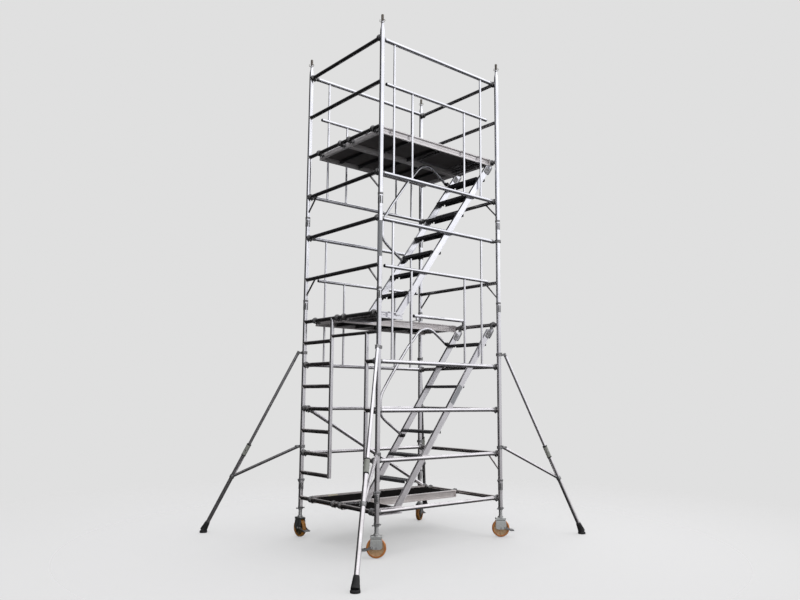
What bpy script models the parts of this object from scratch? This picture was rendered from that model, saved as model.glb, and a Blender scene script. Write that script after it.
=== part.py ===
"""Mobile aluminium stair tower: stacked end frames, decks, stairs, guard rails, castors and stabilisers."""
import math

import bmesh
import bpy
from mathutils import Matrix, Vector

# Overall layout, metres. End A stands at -X, end B at +X, the front is -Y.
BAY_LENGTH = 1.80
BAY_WIDTH = 1.40
TOP_RUNG = 5.43
XE = BAY_LENGTH / 2
YP = BAY_WIDTH / 2
POST_BOTTOM = 0.33
FRAME_TOPS = (0.53, 2.53, 3.53, 5.53)
SPIGOT_LENGTH = 0.15
GAP = 0.0003

# Tubes
POST_R = 0.0254
SPIGOT_R = 0.0222
SOCKET_R = 0.0227
FREE_SPIGOT_R = 0.0150
LEG_R = 0.0205
LEG_BORE_R = 0.0211
RUNG_R = 0.022
RAIL_R = 0.022
SLIM_R = 0.0125
KNEE_R = 0.010
SOCKET_DEPTH = 0.160
ROUND = 10
COARSE = 8
WHEEL_STEPS = 16

# Hooks that close round a rung
HOOK_R = 0.035
HOOK_BORE_R = 0.0232
HOOK_WIDTH = 0.034
RAIL_INSET = 0.045

# Ladder end of the lower frame
LADDER_POST_Y = 0.14
DOOR_POST_Y = -0.50
DOOR_HEAD = TOP_RUNG - 3.20
LADDER_FOOT = TOP_RUNG - 4.74
LADDER_RUNGS = (3.25, 3.50, 3.75, 4.00, 4.25, 4.50, 4.72)
DOOR_POST_FOOT = TOP_RUNG - 4.70
DOOR_STUB_RUNGS = (3.5, 4.0, 4.5)
KNEE_REACH = 0.20

# Decks
DECK_WIDTH = 0.60
DECK_LENGTH = 1.69
DECK_ABOVE_RUNG = 0.008
DECK_BELOW_RUNG = 0.055
BOARD_THICKNESS = 0.012
BEAM_WIDTH = 0.025
BEAM_PROUD = 0.0185
DECK_HOOK_OFFSET = 0.220
FRONT_DECK_Y = -0.340
REAR_DECK_Y = 0.265
HATCH_START = 0.02
HATCH_END = 0.74
HATCH_HALF_WIDTH = 0.25

# Stairs
STAIR_RISE = 2.0
RISER = 0.25
GOING = 0.1825
STAIR_START = -0.582
STRINGER_DEPTH = 0.070
STRINGER_WIDTH = 0.03
NEAR_STRINGER_Y = -0.6155
FAR_STRINGER_Y = -0.083
TREAD_DEPTH = 0.15
TREAD_THICKNESS = 0.03
TREAD_LIFT = 0.025
LANDING_LENGTH = 0.32
STAIR_CUT = 0.0585
HANDRAIL_R = 0.016
HANDRAIL_PATH = (
    # distance from end A and height above the foot of the stair
    (0.830, 0.695), (0.768, 0.737), (0.560, 0.880), (0.510, 0.928), (0.494, 0.975), (0.496, 1.120),
    (0.518, 1.186), (0.625, 1.350), (0.885, 1.705), (0.982, 1.812), (1.036, 1.880), (1.100, 1.925),
    (1.195, 1.948), (1.270, 1.930), (1.360, 1.872), (1.515, 1.765))

# Guard-rail frames: uprights measured from the end the frame starts at
UPRIGHTS_LONG = (0.211, 1.559)
UPRIGHTS_SHORT = (0.475, 1.280)
MID_RAIL_SPAN = (0.095, 1.665)
MID_RAIL_R = 0.0187
DIAGONAL_INSET = 0.113

# Low rail beside the middle deck
KICK_RAIL_Y = -0.130
KICK_RAIL_START = 0.06
KICK_RAIL_R = 0.020
KICK_RAIL_HEIGHT = 0.08
KICK_FOOT_X = (0.10, 0.14)

# Castors
WHEEL_R = 0.10
WHEEL_WIDTH = 0.045
AXLE_R = 0.010
FORK_TOP = 0.222
FORK_WIDTH = 0.066
FORK_PLATE = 0.006
CROWN_HALF = 0.060
PEDAL_PIVOT = 0.045
PEDAL_PIVOT_Z = 0.105
PEDAL_BAR = 0.108
PEDAL_REACH = 0.150
PEDAL_ARM = 0.005
LEG_TOP = 0.66
NUT_BOTTOM = 0.302
NUT_R = 0.030
NUT_BORE_R = 0.0219

# Stabilisers
UPPER_CLAMP_Z = 2.07
LOWER_CLAMP_Z = 1.00
FOOT_Z = 0.03
BLOCK_AT = 0.70
INNER_TUBE_END = 0.72
OUTER_BORE_END = 0.90
SLEEVE_AT = 0.52
UPPER_TUBE_R = 0.0175
LOWER_TUBE_R = 0.0225
HEAD_OFFSET = 0.075
CLAMP_R = 0.036
CLAMP_BORE_R = 0.0272
CLAMP_HEIGHT = 0.035
BOOT_R = 0.046
SLEEVE_LENGTH = 0.145

CORNERS = (
    # tag, x, y, foot offset, wheel heading in degrees, pedal side
    ("a_front", -XE, -YP, (-0.90, -0.88), -39.8, -1),
    ("a_rear", -XE, YP, (-0.75, 0.88), 92.0, -1),
    ("b_front", XE, -YP, (0.90, -0.45), -39.8, 1),
    ("b_rear", XE, YP, (0.88, 0.88), 31.0, 1),
)


def level(below):
    return TOP_RUNG - below


def clear_scene():
    for obj in list(bpy.data.objects):
        bpy.data.objects.remove(obj, do_unlink=True)


def mesh_object(name, bm):
    bmesh.ops.recalc_face_normals(bm, faces=bm.faces)
    mesh = bpy.data.meshes.new(name)
    bm.to_mesh(mesh)
    bm.free()
    obj = bpy.data.objects.new(name, mesh)
    bpy.context.scene.collection.objects.link(obj)
    return obj


def tube(start, end, radius, sides=COARSE, end_radius=None):
    """Solid round bar between two points, tapered when an end radius is given."""
    start, end = Vector(start), Vector(end)
    along = end - start
    turn = Vector((0, 0, 1)).rotation_difference(along.normalized()).to_matrix().to_4x4()
    move = Matrix.Translation((start + end) / 2)
    bm = bmesh.new()
    bmesh.ops.create_cone(bm, cap_ends=True, segments=sides, radius1=radius, radius2=end_radius or radius,
                          depth=along.length, matrix=move @ turn)
    return mesh_object("bar", bm)


def block(low, high, turn=None):
    """Box between two corners, optionally turned about the vertical through the origin."""
    size = [b - a for a, b in zip(low, high)]
    middle = [(a + b) / 2 for a, b in zip(low, high)]
    matrix = Matrix.Translation(middle) @ Matrix.Diagonal((*size, 1.0))
    if turn is not None:
        matrix = turn @ matrix
    bm = bmesh.new()
    bmesh.ops.create_cube(bm, size=1.0, matrix=matrix)
    return mesh_object("block", bm)


def plate(outline, low_y, high_y):
    """Prism along Y with an outline given as (x, z) points."""
    bm = bmesh.new()
    near = [bm.verts.new((x, low_y, z)) for x, z in outline]
    far = [bm.verts.new((x, high_y, z)) for x, z in outline]
    bm.faces.new(near)
    bm.faces.new(list(reversed(far)))
    count = len(outline)
    for i in range(count):
        j = (i + 1) % count
        bm.faces.new((near[i], far[i], far[j], near[j]))
    return mesh_object("plate", bm)


def boolean(base, others, operation):
    """Add or cut every solid of a list in one exact step."""
    if not others:
        return
    group = bpy.data.collections.new("tools")
    for other in others:
        group.objects.link(other)
    step = base.modifiers.new(operation, "BOOLEAN")
    step.operation = operation
    step.solver = "EXACT"
    step.operand_type = "COLLECTION"
    step.collection = group
    graph = bpy.context.evaluated_depsgraph_get()
    result = bpy.data.meshes.new_from_object(base.evaluated_get(graph))
    base.modifiers.clear()
    base.data = result
    for other in others:
        bpy.data.objects.remove(other, do_unlink=True)
    bpy.data.collections.remove(group)


def tidy(obj):
    bm = bmesh.new()
    bm.from_mesh(obj.data)
    bmesh.ops.remove_doubles(bm, verts=bm.verts, dist=0.00002)
    bmesh.ops.dissolve_limit(bm, angle_limit=0.01, verts=bm.verts, edges=bm.edges)
    bmesh.ops.triangulate(bm, faces=bm.faces)
    bm.to_mesh(obj.data)
    bm.free()


def finish(obj, name, material, smooth=True, origin=(0, 0, 0)):
    """Name the object, give it its material and put its origin on its axis."""
    obj.name = name
    obj.data.name = name
    obj.data.materials.clear()
    obj.data.materials.append(paint(name, *material))
    for face in obj.data.polygons:
        face.use_smooth = smooth
    shift = Vector(origin)
    obj.data.transform(Matrix.Translation(-shift))
    obj.location = shift
    return obj


def paint(name, color, metallic, roughness):
    mat = bpy.data.materials.new(name + "_material")
    mat.use_nodes = True
    shader = mat.node_tree.nodes["Principled BSDF"]
    shader.inputs["Base Color"].default_value = (*color, 1.0)
    shader.inputs["Metallic"].default_value = metallic
    shader.inputs["Roughness"].default_value = roughness
    return mat


ALUMINIUM = ((0.72, 0.75, 0.79), 0.9, 0.35)
ZINC = ((0.55, 0.56, 0.56), 0.9, 0.40)
BLACK_BOARD = ((0.03, 0.03, 0.035), 0.0, 0.65)
AMBER = ((0.75, 0.33, 0.06), 0.0, 0.45)
CASTING = ((0.42, 0.44, 0.44), 0.8, 0.5)


def build(name, solids, cuts, material, smooth=True, origin=(0, 0, 0)):
    base = solids[0]
    boolean(base, solids[1:], "UNION")
    boolean(base, cuts, "DIFFERENCE")
    tidy(base)
    return finish(base, name, material, smooth, origin)


def rung_hook(x, y, z, solids, cuts):
    """Closed hook round a rung that runs along Y."""
    half = HOOK_WIDTH / 2
    solids.append(tube((x, y - half, z), (x, y + half, z), HOOK_R))
    cuts.append(tube((x, y - 0.05, z), (x, y + 0.05, z), HOOK_BORE_R))


# ---------------------------------------------------------------- end frames

def posts(x, bottom, top, solids, cuts, through):
    spigot = FREE_SPIGOT_R if top == FRAME_TOPS[-1] else SPIGOT_R
    for side in (-1, 1):
        y = side * YP
        solids.append(tube((x, y, bottom + GAP), (x, y, top), POST_R, ROUND))
        solids.append(tube((x, y, top - 0.02), (x, y, top + SPIGOT_LENGTH), spigot, ROUND))
        if through:
            cuts.append(tube((x, y, bottom - 0.1), (x, y, top + 0.3), LEG_BORE_R, ROUND))
        else:
            cuts.append(tube((x, y, bottom - 0.1), (x, y, bottom + SOCKET_DEPTH), SOCKET_R, ROUND))


def rung(x, z, low, high, solids):
    solids.append(tube((x, low, z), (x, high, z), RUNG_R))


def knee_braces(x, z, solids):
    """Short struts from the lowest rung down to both posts."""
    for side in (-1, 1):
        y = side * YP
        solids.append(tube((x, y - side * KNEE_REACH, z), (x, y, z - KNEE_REACH), KNEE_R))


def base_frame(tag, x):
    solids, cuts = [], []
    posts(x, POST_BOTTOM, FRAME_TOPS[0], solids, cuts, True)
    rung(x, level(5.0), -YP, YP, solids)
    build("base_frame_" + tag, solids, cuts, ALUMINIUM)


def plain_frame(name, x, bottom, top, rungs):
    solids, cuts = [], []
    posts(x, bottom, top, solids, cuts, False)
    for below in rungs:
        rung(x, level(below), -YP, YP, solids)
    knee_braces(x, level(max(rungs)), solids)
    build(name, solids, cuts, ALUMINIUM)


def ladder_frame(x):
    """Lower frame of end A: a ladder beside a walk-through opening."""
    solids, cuts = [], []
    posts(x, FRAME_TOPS[0], FRAME_TOPS[1], solids, cuts, False)
    rung(x, level(3.0), -YP, YP, solids)
    solids.append(tube((x, LADDER_POST_Y, LADDER_FOOT), (x, LADDER_POST_Y, level(3.0)), RUNG_R))
    solids.append(tube((x, DOOR_POST_Y, DOOR_POST_FOOT), (x, DOOR_POST_Y, DOOR_HEAD), RUNG_R))
    solids.append(tube((x, -YP, DOOR_HEAD), (x, LADDER_POST_Y, DOOR_HEAD), SLIM_R * 1.4))
    for below in LADDER_RUNGS:
        rung(x, level(below), LADDER_POST_Y, YP, solids)
    for below in DOOR_STUB_RUNGS:
        rung(x, level(below), -YP, DOOR_POST_Y, solids)
    build("lower_frame_end_a", solids, cuts, ALUMINIUM)


def frames():
    base_frame("end_a", -XE)
    base_frame("end_b", XE)
    ladder_frame(-XE)
    plain_frame("lower_frame_end_b", XE, FRAME_TOPS[0], FRAME_TOPS[1], (3.0, 3.5, 4.0, 4.5))
    plain_frame("middle_frame_end_a", -XE, FRAME_TOPS[1], FRAME_TOPS[2], (2.0, 2.5))
    plain_frame("middle_frame_end_b", XE, FRAME_TOPS[1], FRAME_TOPS[2], (2.5,))
    plain_frame("top_frame_end_a", -XE, FRAME_TOPS[2], FRAME_TOPS[3], (0.0, 0.5, 1.0, 1.5))
    plain_frame("top_frame_end_b", XE, FRAME_TOPS[2], FRAME_TOPS[3], (0.0, 0.5, 1.0, 1.5))


# ------------------------------------------------------- rails and braces

def long_rail(y, z, solids, cuts):
    """Tube from end to end with a hook at both ends."""
    solids.append(tube((-XE + 0.028, y, z), (XE - 0.028, y, z), RAIL_R))
    for x in (-XE, XE):
        rung_hook(x, y, z, solids, cuts)


def post_hook(y, z, side, solids, cuts):
    """End-B hook that closes round the post where the frame has no rung."""
    post_y = side * YP
    half = HOOK_WIDTH / 2
    solids.append(tube((XE, post_y, z - half), (XE, post_y, z + half), HOOK_R + 0.004, ROUND))
    low, high = sorted((y - side * 0.015, post_y))
    solids.append(block((XE - 0.045, low, z - half + 0.002), (XE - 0.005, high, z + half - 0.002)))
    cuts.append(tube((XE, post_y, z - 0.1), (XE, post_y, z + 0.1), 0.0268, ROUND))


def guard_rail(name, side, top_below, on_post):
    """Welded frame: two long rails, a shorter middle rail and four uprights."""
    y = side * (YP - RAIL_INSET)
    solids, cuts = [], []
    top, middle, bottom = level(top_below), level(top_below + 0.5), level(top_below + 1.5)
    if on_post:
        solids.append(tube((-XE + 0.028, y, top), (XE - 0.02, y, top), RAIL_R))
        rung_hook(-XE, y, top, solids, cuts)
        post_hook(y, top, side, solids, cuts)
    else:
        long_rail(y, top, solids, cuts)
    long_rail(y, bottom, solids, cuts)
    # The rear frames are the same product turned end for end.
    place = (lambda u: -XE + u) if side < 0 else (lambda u: XE - u)
    near, far = (place(u) for u in MID_RAIL_SPAN)
    solids.append(tube((near, y, middle), (far, y, middle), MID_RAIL_R))
    for u in UPRIGHTS_LONG:
        solids.append(tube((place(u), y, bottom), (place(u), y, top), SLIM_R))
    for u in UPRIGHTS_SHORT:
        solids.append(tube((place(u), y, bottom), (place(u), y, middle), SLIM_R))
    build(name, solids, cuts, ALUMINIUM)


def plain_brace(name, side, below):
    solids, cuts = [], []
    long_rail(side * (YP - RAIL_INSET), level(below), solids, cuts)
    build(name, solids, cuts, ALUMINIUM)


def diagonal_brace():
    """Rear diagonal from the ladder end down to the base of end B."""
    y = YP - DIAGONAL_INSET
    start, end = Vector((-XE, y, level(4.0))), Vector((XE, y, level(5.0)))
    along = (end - start).normalized()
    solids = [tube(start + along * 0.028, end - along * 0.028, RAIL_R)]
    cuts = []
    for point in (start, end):
        solids.append(tube((point.x, y - 0.015, point.z), (point.x, y + 0.015, point.z), HOOK_R))
        cuts.append(tube((point.x, y - 0.05, point.z), (point.x, y + 0.05, point.z), HOOK_BORE_R))
    build("diagonal_brace_rear", solids, cuts, ALUMINIUM)


def kick_rail():
    """Low rail along the stair side of the middle deck, hooked to end B."""
    y, z = KICK_RAIL_Y, level(3.0) + KICK_RAIL_HEIGHT
    solids = [tube((KICK_RAIL_START, y, z), (XE - 0.02, y, z), KICK_RAIL_R)]
    cuts = []
    rung_hook(XE, y, level(3.0), solids, cuts)
    solids.append(block((XE - 0.034, y - 0.012, level(3.0) + 0.020), (XE - 0.016, y + 0.012, z)))
    floor = level(3.0) + DECK_ABOVE_RUNG + BEAM_PROUD + GAP
    near, far = KICK_FOOT_X
    deck_edge = REAR_DECK_Y - DECK_WIDTH / 2
    solids.append(block((near, y - 0.012, floor), (far, y + 0.012, z)))
    solids.append(block((near, y - 0.012, floor), (far, deck_edge + 0.03, floor + 0.006)))
    build("kick_rail_middle", solids, cuts, ALUMINIUM)


def rails():
    guard_rail("guard_rail_top_front", -1, 0.0, False)
    guard_rail("guard_rail_top_rear", 1, 0.0, False)
    guard_rail("guard_rail_middle_front", -1, 2.0, True)
    guard_rail("guard_rail_middle_rear", 1, 2.0, True)
    plain_brace("brace_front_upper", -1, 4.0)
    plain_brace("brace_front_middle", -1, 4.5)
    plain_brace("brace_front_base", -1, 5.0)
    plain_brace("brace_rear_upper", 1, 4.0)
    plain_brace("brace_rear_middle", 1, 4.5)
    diagonal_brace()
    kick_rail()


# ------------------------------------------------------------------- decks

def deck(name, y, below, hatch=False):
    """Boarded deck on two side beams, two end beams and two cross members, with four hooks."""
    z = level(below)
    top, bottom = z + DECK_ABOVE_RUNG, z - DECK_BELOW_RUNG
    half_x, half_y = DECK_LENGTH / 2, DECK_WIDTH / 2
    inner = half_y - BEAM_WIDTH
    solids = [block((-half_x + 0.010, y - inner - 0.012, top - BOARD_THICKNESS),
                    (half_x - 0.010, y + inner + 0.012, top))]
    cuts = []
    for side in (-1, 1):
        edge = sorted((y + side * half_y, y + side * inner))
        solids.append(block((-half_x, edge[0], bottom), (half_x, edge[1], top + BEAM_PROUD)))
        end = sorted((side * (half_x - 0.003), side * (half_x - 0.035)))
        solids.append(block((end[0], y - inner - 0.010, bottom + 0.012),
                            (end[1], y + inner + 0.010, top - 0.005)))
    cross = (-0.40, HATCH_START - 0.022) if hatch else (-0.28, 0.28)
    for x in cross:
        solids.append(block((x - 0.015, y - inner - 0.008, top - 0.045),
                            (x + 0.015, y + inner + 0.008, top - 0.007)))
    for x in (-1, 1):
        for offset in (-DECK_HOOK_OFFSET, DECK_HOOK_OFFSET):
            rung_hook(x * XE, y + offset, z, solids, cuts)
            neck = sorted((x * (half_x - 0.02), x * (XE - 0.026)))
            half = HOOK_WIDTH / 2 - 0.003
            solids.append(block((neck[0], y + offset - half, z - 0.022),
                                (neck[1], y + offset + half, z + 0.018)))
    if hatch:
        cuts.append(block((HATCH_START, y - HATCH_HALF_WIDTH, bottom - 0.1),
                          (HATCH_END, y + HATCH_HALF_WIDTH, top + 0.1)))
    build(name, solids, cuts, BLACK_BOARD, smooth=False)


def hatch_lid():
    """Trapdoor with two battens; its hinge line lies along the front edge of the opening."""
    z = level(1.0) + DECK_ABOVE_RUNG
    y = FRONT_DECK_Y
    gap = 0.004
    low_y, high_y = y - HATCH_HALF_WIDTH + gap, y + HATCH_HALF_WIDTH - gap
    solids = [block((HATCH_START + gap, low_y, z - BOARD_THICKNESS), (HATCH_END - gap, high_y, z))]
    for x in (HATCH_START + 0.10, HATCH_END - 0.10):
        solids.append(block((x - 0.02, low_y + 0.02, z - 0.030), (x + 0.02, high_y - 0.02, z - 0.006)))
    build("hatch_lid", solids, [], BLACK_BOARD, smooth=False, origin=(HATCH_START, low_y, z))


def decks():
    deck("deck_top_rear", REAR_DECK_Y, 1.0)
    deck("deck_top_front", FRONT_DECK_Y, 1.0, hatch=True)
    hatch_lid()
    deck("deck_middle_rear", REAR_DECK_Y, 3.0)
    deck("deck_base_rear", REAR_DECK_Y, 5.0)


# ------------------------------------------------------------------ stairs

def stringer(y, base, solids, cuts):
    """Side beam of the stair with the head plate that hooks over the end-B rung."""
    slope = GOING / RISER
    half = STRINGER_DEPTH / 2 / math.cos(math.atan(slope))
    high = STAIR_RISE - STAIR_CUT
    low_x, high_x = STAIR_START, STAIR_START + slope * high
    side = STRINGER_WIDTH / 2
    solids.append(plate(((low_x - half, base), (low_x + half, base),
                         (high_x + half, base + high), (high_x - half, base + high)), y - side, y + side))
    top = base + STAIR_RISE
    neck = XE - 0.048
    head = ((0.80, top - STAIR_CUT), (neck, top - STAIR_CUT), (neck, top - 0.01), (XE, top - 0.01),
            (XE, top - 0.075), (0.855, top - 0.14), (0.83, top - 0.17), (0.79, top - 0.12))
    solids.append(plate(head, y - 0.010, y + 0.010))
    rung_hook(XE, y, top, solids, cuts)


def stair(name, base):
    """Stair with seven treads; the landing at its foot hooks on the end-A rung."""
    solids, cuts = [], []
    for y in (NEAR_STRINGER_Y, FAR_STRINGER_Y):
        stringer(y, base, solids, cuts)
    low_y, high_y = NEAR_STRINGER_Y + 0.01, FAR_STRINGER_Y - 0.01
    for step in range(1, 8):
        z = base + RISER * step + TREAD_LIFT
        x = STAIR_START + GOING * (z - base) / RISER
        solids.append(block((x - TREAD_DEPTH / 2, low_y, z - TREAD_THICKNESS),
                            (x + TREAD_DEPTH / 2, high_y, z)))
    start, end = -XE + 0.055, -XE + LANDING_LENGTH + 0.07
    top, bottom = base + DECK_ABOVE_RUNG, base - 0.045
    solids.append(block((start + 0.003, low_y - 0.002, top - BOARD_THICKNESS),
                        (end - 0.004, high_y + 0.002, top)))
    for y in (NEAR_STRINGER_Y, FAR_STRINGER_Y):
        solids.append(block((start, y - 0.0142, bottom), (end, y + 0.0142, top + BEAM_PROUD)))
        rung_hook(-XE, y, base, solids, cuts)
        solids.append(block((-XE + 0.026, y - 0.012, base - 0.022),
                            (start + 0.012, y + 0.012, base + 0.018)))
    for x in (start + 0.002, end - 0.034):
        solids.append(block((x, low_y + 0.001, bottom + 0.01),
                            (x + 0.030, high_y - 0.001, top - 0.005)))
    build(name, solids, cuts, ALUMINIUM, smooth=False)


def handrail(name, base):
    """Bent tube fixed to the stair side of the far stringer."""
    y = FAR_STRINGER_Y - STRINGER_WIDTH / 2 - HANDRAIL_R - GAP
    curve = bpy.data.curves.new(name, "CURVE")
    curve.dimensions = "3D"
    curve.bevel_depth = HANDRAIL_R
    curve.bevel_resolution = 1
    curve.use_fill_caps = True
    line = curve.splines.new("POLY")
    line.points.add(len(HANDRAIL_PATH) - 1)
    for point, (x, h) in zip(line.points, HANDRAIL_PATH):
        point.co = (x - XE, y, base + h, 1.0)
    guide = bpy.data.objects.new("guide", curve)
    bpy.context.scene.collection.objects.link(guide)
    graph = bpy.context.evaluated_depsgraph_get()
    mesh = bpy.data.meshes.new_from_object(guide.evaluated_get(graph))
    obj = bpy.data.objects.new(name, mesh)
    obj.matrix_world = guide.matrix_world.copy()
    bpy.context.scene.collection.objects.link(obj)
    bpy.data.objects.remove(guide, do_unlink=True)
    tidy(obj)
    finish(obj, name, ALUMINIUM)


def stairs():
    for tag, below in (("lower", 5.0), ("upper", 3.0)):
        stair("stair_" + tag, level(below))
        handrail("handrail_" + tag, level(below))


# ----------------------------------------------------------------- castors

def castor_leg(tag, x, y):
    solids = [tube((x, y, FORK_TOP + 0.004), (x, y, LEG_TOP), LEG_R, ROUND),
              tube((x, y, FORK_TOP + GAP), (x, y, FORK_TOP + 0.010), 0.030, ROUND)]
    build("castor_leg_" + tag, solids, [], ZINC, origin=(x, y, FORK_TOP))


def jack_nut(tag, x, y):
    top = POST_BOTTOM
    solids = [tube((x, y, NUT_BOTTOM), (x, y, top - GAP), NUT_R, ROUND),
              block((x - 0.055, y - 0.006, NUT_BOTTOM + 0.005), (x + 0.055, y + 0.006, NUT_BOTTOM + 0.020))]
    cuts = [tube((x, y, NUT_BOTTOM - 0.1), (x, y, top + 0.1), NUT_BORE_R, ROUND)]
    build("jack_nut_" + tag, solids, cuts, CASTING, origin=(x, y, (NUT_BOTTOM + top) / 2))


def castor_turn(x, y, heading):
    return Matrix.Translation((x, y, 0)) @ Matrix.Rotation(math.radians(heading), 4, "Z")


def castor_fork(tag, x, y, turn):
    """Bearing head, crown, two cheeks and the axle, drawn rolling along local X."""
    half = FORK_WIDTH / 2
    wide, crown = CROWN_HALF, WHEEL_R * 2 + 0.004
    head = tube((x, y, crown + 0.002), (x, y, FORK_TOP), 0.036, ROUND)
    solids = [head, block((-wide, -half, crown), (wide, half, FORK_TOP - 0.006), turn)]
    outline = ((-0.035, 0.085), (0.035, 0.085), (wide, 0.098), (wide, crown + 0.004),
               (-wide, crown + 0.004), (-wide, 0.098))
    for side in (-1, 1):
        low, high = sorted((side * half, side * (half - FORK_PLATE)))
        cheek = plate(outline, low, high)
        cheek.data.transform(turn)
        solids.append(cheek)
    axle = turn @ Vector((0, -half - 0.006, WHEEL_R)), turn @ Vector((0, half + 0.006, WHEEL_R))
    solids.append(tube(axle[0], axle[1], AXLE_R, ROUND))
    build("castor_fork_" + tag, solids, [], ZINC, origin=(x, y, FORK_TOP))


def castor_wheel(tag, x, y, turn):
    """Turned section spun about the axle: tyre, web and hub with a clear bore."""
    half = WHEEL_WIDTH / 2
    section = ((0.0112, half), (0.026, half), (0.030, 0.012), (0.076, 0.010), (0.082, half),
               (WHEEL_R, half - 0.008))
    profile = list(section) + [(r, -w) for r, w in reversed(section)]
    bm = bmesh.new()
    ring = [bm.verts.new((r, w, 0)) for r, w in profile]
    edges = [bm.edges.new((ring[i], ring[(i + 1) % len(ring)])) for i in range(len(ring))]
    bmesh.ops.spin(bm, geom=ring + edges, cent=(0, 0, 0), axis=(0, 1, 0), angle=math.tau, steps=WHEEL_STEPS,
                   use_merge=True, use_duplicate=False)
    bmesh.ops.remove_doubles(bm, verts=bm.verts, dist=0.0001)
    bmesh.ops.transform(bm, matrix=turn @ Matrix.Translation((0, 0, WHEEL_R)), verts=bm.verts)
    obj = mesh_object("wheel", bm)
    tidy(obj)
    finish(obj, "castor_wheel_" + tag, AMBER, origin=(x, y, WHEEL_R))


def brake_pedal(tag, x, y, turn, side):
    """Foot lever: two arms outside the cheeks joined by a bar beyond the tyre."""
    pivot = turn @ Vector((side * PEDAL_PIVOT, 0, PEDAL_PIVOT_Z))
    inner = FORK_WIDTH / 2 + 0.0005
    outer = inner + PEDAL_ARM
    rear, front = PEDAL_PIVOT - 0.012, PEDAL_PIVOT + 0.012
    arm = ((rear, 0.093), (front, 0.090), (PEDAL_BAR, 0.070), (PEDAL_REACH, 0.070), (PEDAL_REACH, 0.084),
           (front, 0.117), (rear, 0.117))
    bar = ((PEDAL_BAR, 0.0705), (PEDAL_REACH, 0.0705), (PEDAL_REACH, 0.084), (PEDAL_BAR, 0.086))
    arm = [(side * u, z) for u, z in arm]
    bar = [(side * u, z) for u, z in bar]
    solids = [plate(bar, -outer + 0.001, outer - 0.001), plate(arm, inner, outer),
              plate(arm, -outer, -inner)]
    for solid in solids:
        solid.data.transform(turn)
    build("brake_pedal_" + tag, solids, [], CASTING, smooth=False, origin=pivot)


def castors():
    for tag, x, y, _, heading, side in CORNERS:
        turn = castor_turn(x, y, heading)
        castor_leg(tag, x, y)
        jack_nut(tag, x, y)
        castor_fork(tag, x, y, turn)
        castor_wheel(tag, x, y, turn)
        brake_pedal(tag, x, y, turn, side)


# ------------------------------------------------------------- stabilisers

def clamp(x, y, z, solids, cuts):
    half = CLAMP_HEIGHT / 2
    solids.append(tube((x, y, z - half), (x, y, z + half), CLAMP_R, ROUND))
    cuts.append(tube((x, y, z - 0.1), (x, y, z + 0.1), CLAMP_BORE_R, ROUND))


def stabiliser(tag, x, y, foot):
    """Telescopic leg from the upper clamp to a rubber foot, tied in by a lower arm."""
    ground = Vector((x + foot[0], y + foot[1], FOOT_Z))
    out = Vector((foot[0], foot[1], 0)).normalized()
    post = Vector((x, y, UPPER_CLAMP_Z))
    head = post + out * HEAD_OFFSET
    along = (ground - head).normalized()

    solids, cuts = [tube(head - along * 0.02, head.lerp(ground, INNER_TUBE_END), UPPER_TUBE_R, ROUND)], []
    solids.append(tube(post + out * 0.030, head, UPPER_TUBE_R * 0.75))
    clamp(x, y, UPPER_CLAMP_Z, solids, cuts)
    build("stabiliser_upper_" + tag, solids, cuts, ALUMINIUM, origin=(x, y, UPPER_CLAMP_Z))

    sleeve = head.lerp(ground, SLEEVE_AT)
    solids = [tube(sleeve, ground - along * 0.004, LOWER_TUBE_R, ROUND),
              tube(sleeve - along * 0.006, sleeve + along * SLEEVE_LENGTH, LOWER_TUBE_R + 0.004, ROUND),
              tube((ground.x, ground.y, 0), (ground.x, ground.y, 0.022), BOOT_R, ROUND),
              tube(ground, ground - along * 0.10, BOOT_R - 0.006, ROUND, LOWER_TUBE_R + 0.0035)]
    cuts = [tube(sleeve - along * 0.1, head.lerp(ground, OUTER_BORE_END), UPPER_TUBE_R + 0.0008, ROUND)]
    build("stabiliser_lower_" + tag, solids, cuts, ALUMINIUM, origin=sleeve)

    joint = head.lerp(ground, BLOCK_AT)
    pivot = Vector((x, y, LOWER_CLAMP_Z))
    reach = (joint - pivot).normalized()
    solids = [tube(pivot + out * 0.032, joint - reach * 0.020, UPPER_TUBE_R, COARSE),
              tube(joint - along * 0.02, joint + along * 0.02, LOWER_TUBE_R + 0.0055, ROUND)]
    cuts = [tube(joint - along * 0.1, joint + along * 0.1, LOWER_TUBE_R + 0.0008, ROUND)]
    clamp(x, y, LOWER_CLAMP_Z, solids, cuts)
    build("stabiliser_arm_" + tag, solids, cuts, ALUMINIUM, origin=pivot)


def stabilisers():
    for tag, x, y, foot, _, _ in CORNERS:
        stabiliser(tag, x, y, foot)


clear_scene()
frames()
rails()
decks()
stairs()
castors()
stabilisers()
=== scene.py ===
import math

import bmesh
import bpy
from mathutils import Matrix, Vector


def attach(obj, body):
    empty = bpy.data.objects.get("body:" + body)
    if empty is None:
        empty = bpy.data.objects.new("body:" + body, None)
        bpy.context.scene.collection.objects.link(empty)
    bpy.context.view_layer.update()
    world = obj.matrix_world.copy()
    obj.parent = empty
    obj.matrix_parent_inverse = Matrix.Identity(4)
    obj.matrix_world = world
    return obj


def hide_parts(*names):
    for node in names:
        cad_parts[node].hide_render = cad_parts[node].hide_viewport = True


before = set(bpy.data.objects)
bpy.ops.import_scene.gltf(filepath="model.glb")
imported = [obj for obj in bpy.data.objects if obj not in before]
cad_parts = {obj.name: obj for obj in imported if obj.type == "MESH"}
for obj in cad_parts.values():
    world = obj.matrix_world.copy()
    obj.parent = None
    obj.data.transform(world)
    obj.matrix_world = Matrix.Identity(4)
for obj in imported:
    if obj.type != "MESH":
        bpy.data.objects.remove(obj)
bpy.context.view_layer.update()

# ------------------------------------------------------------------ sizes, metres
TOP_RUNG = 5.43
XE = 0.9
YP = 0.7
POST_R = 0.0254
SPIGOT_R = 0.0222
RUNG_R = 0.022
RAIL_R = 0.022
RAIL_Y = 0.655
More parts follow.
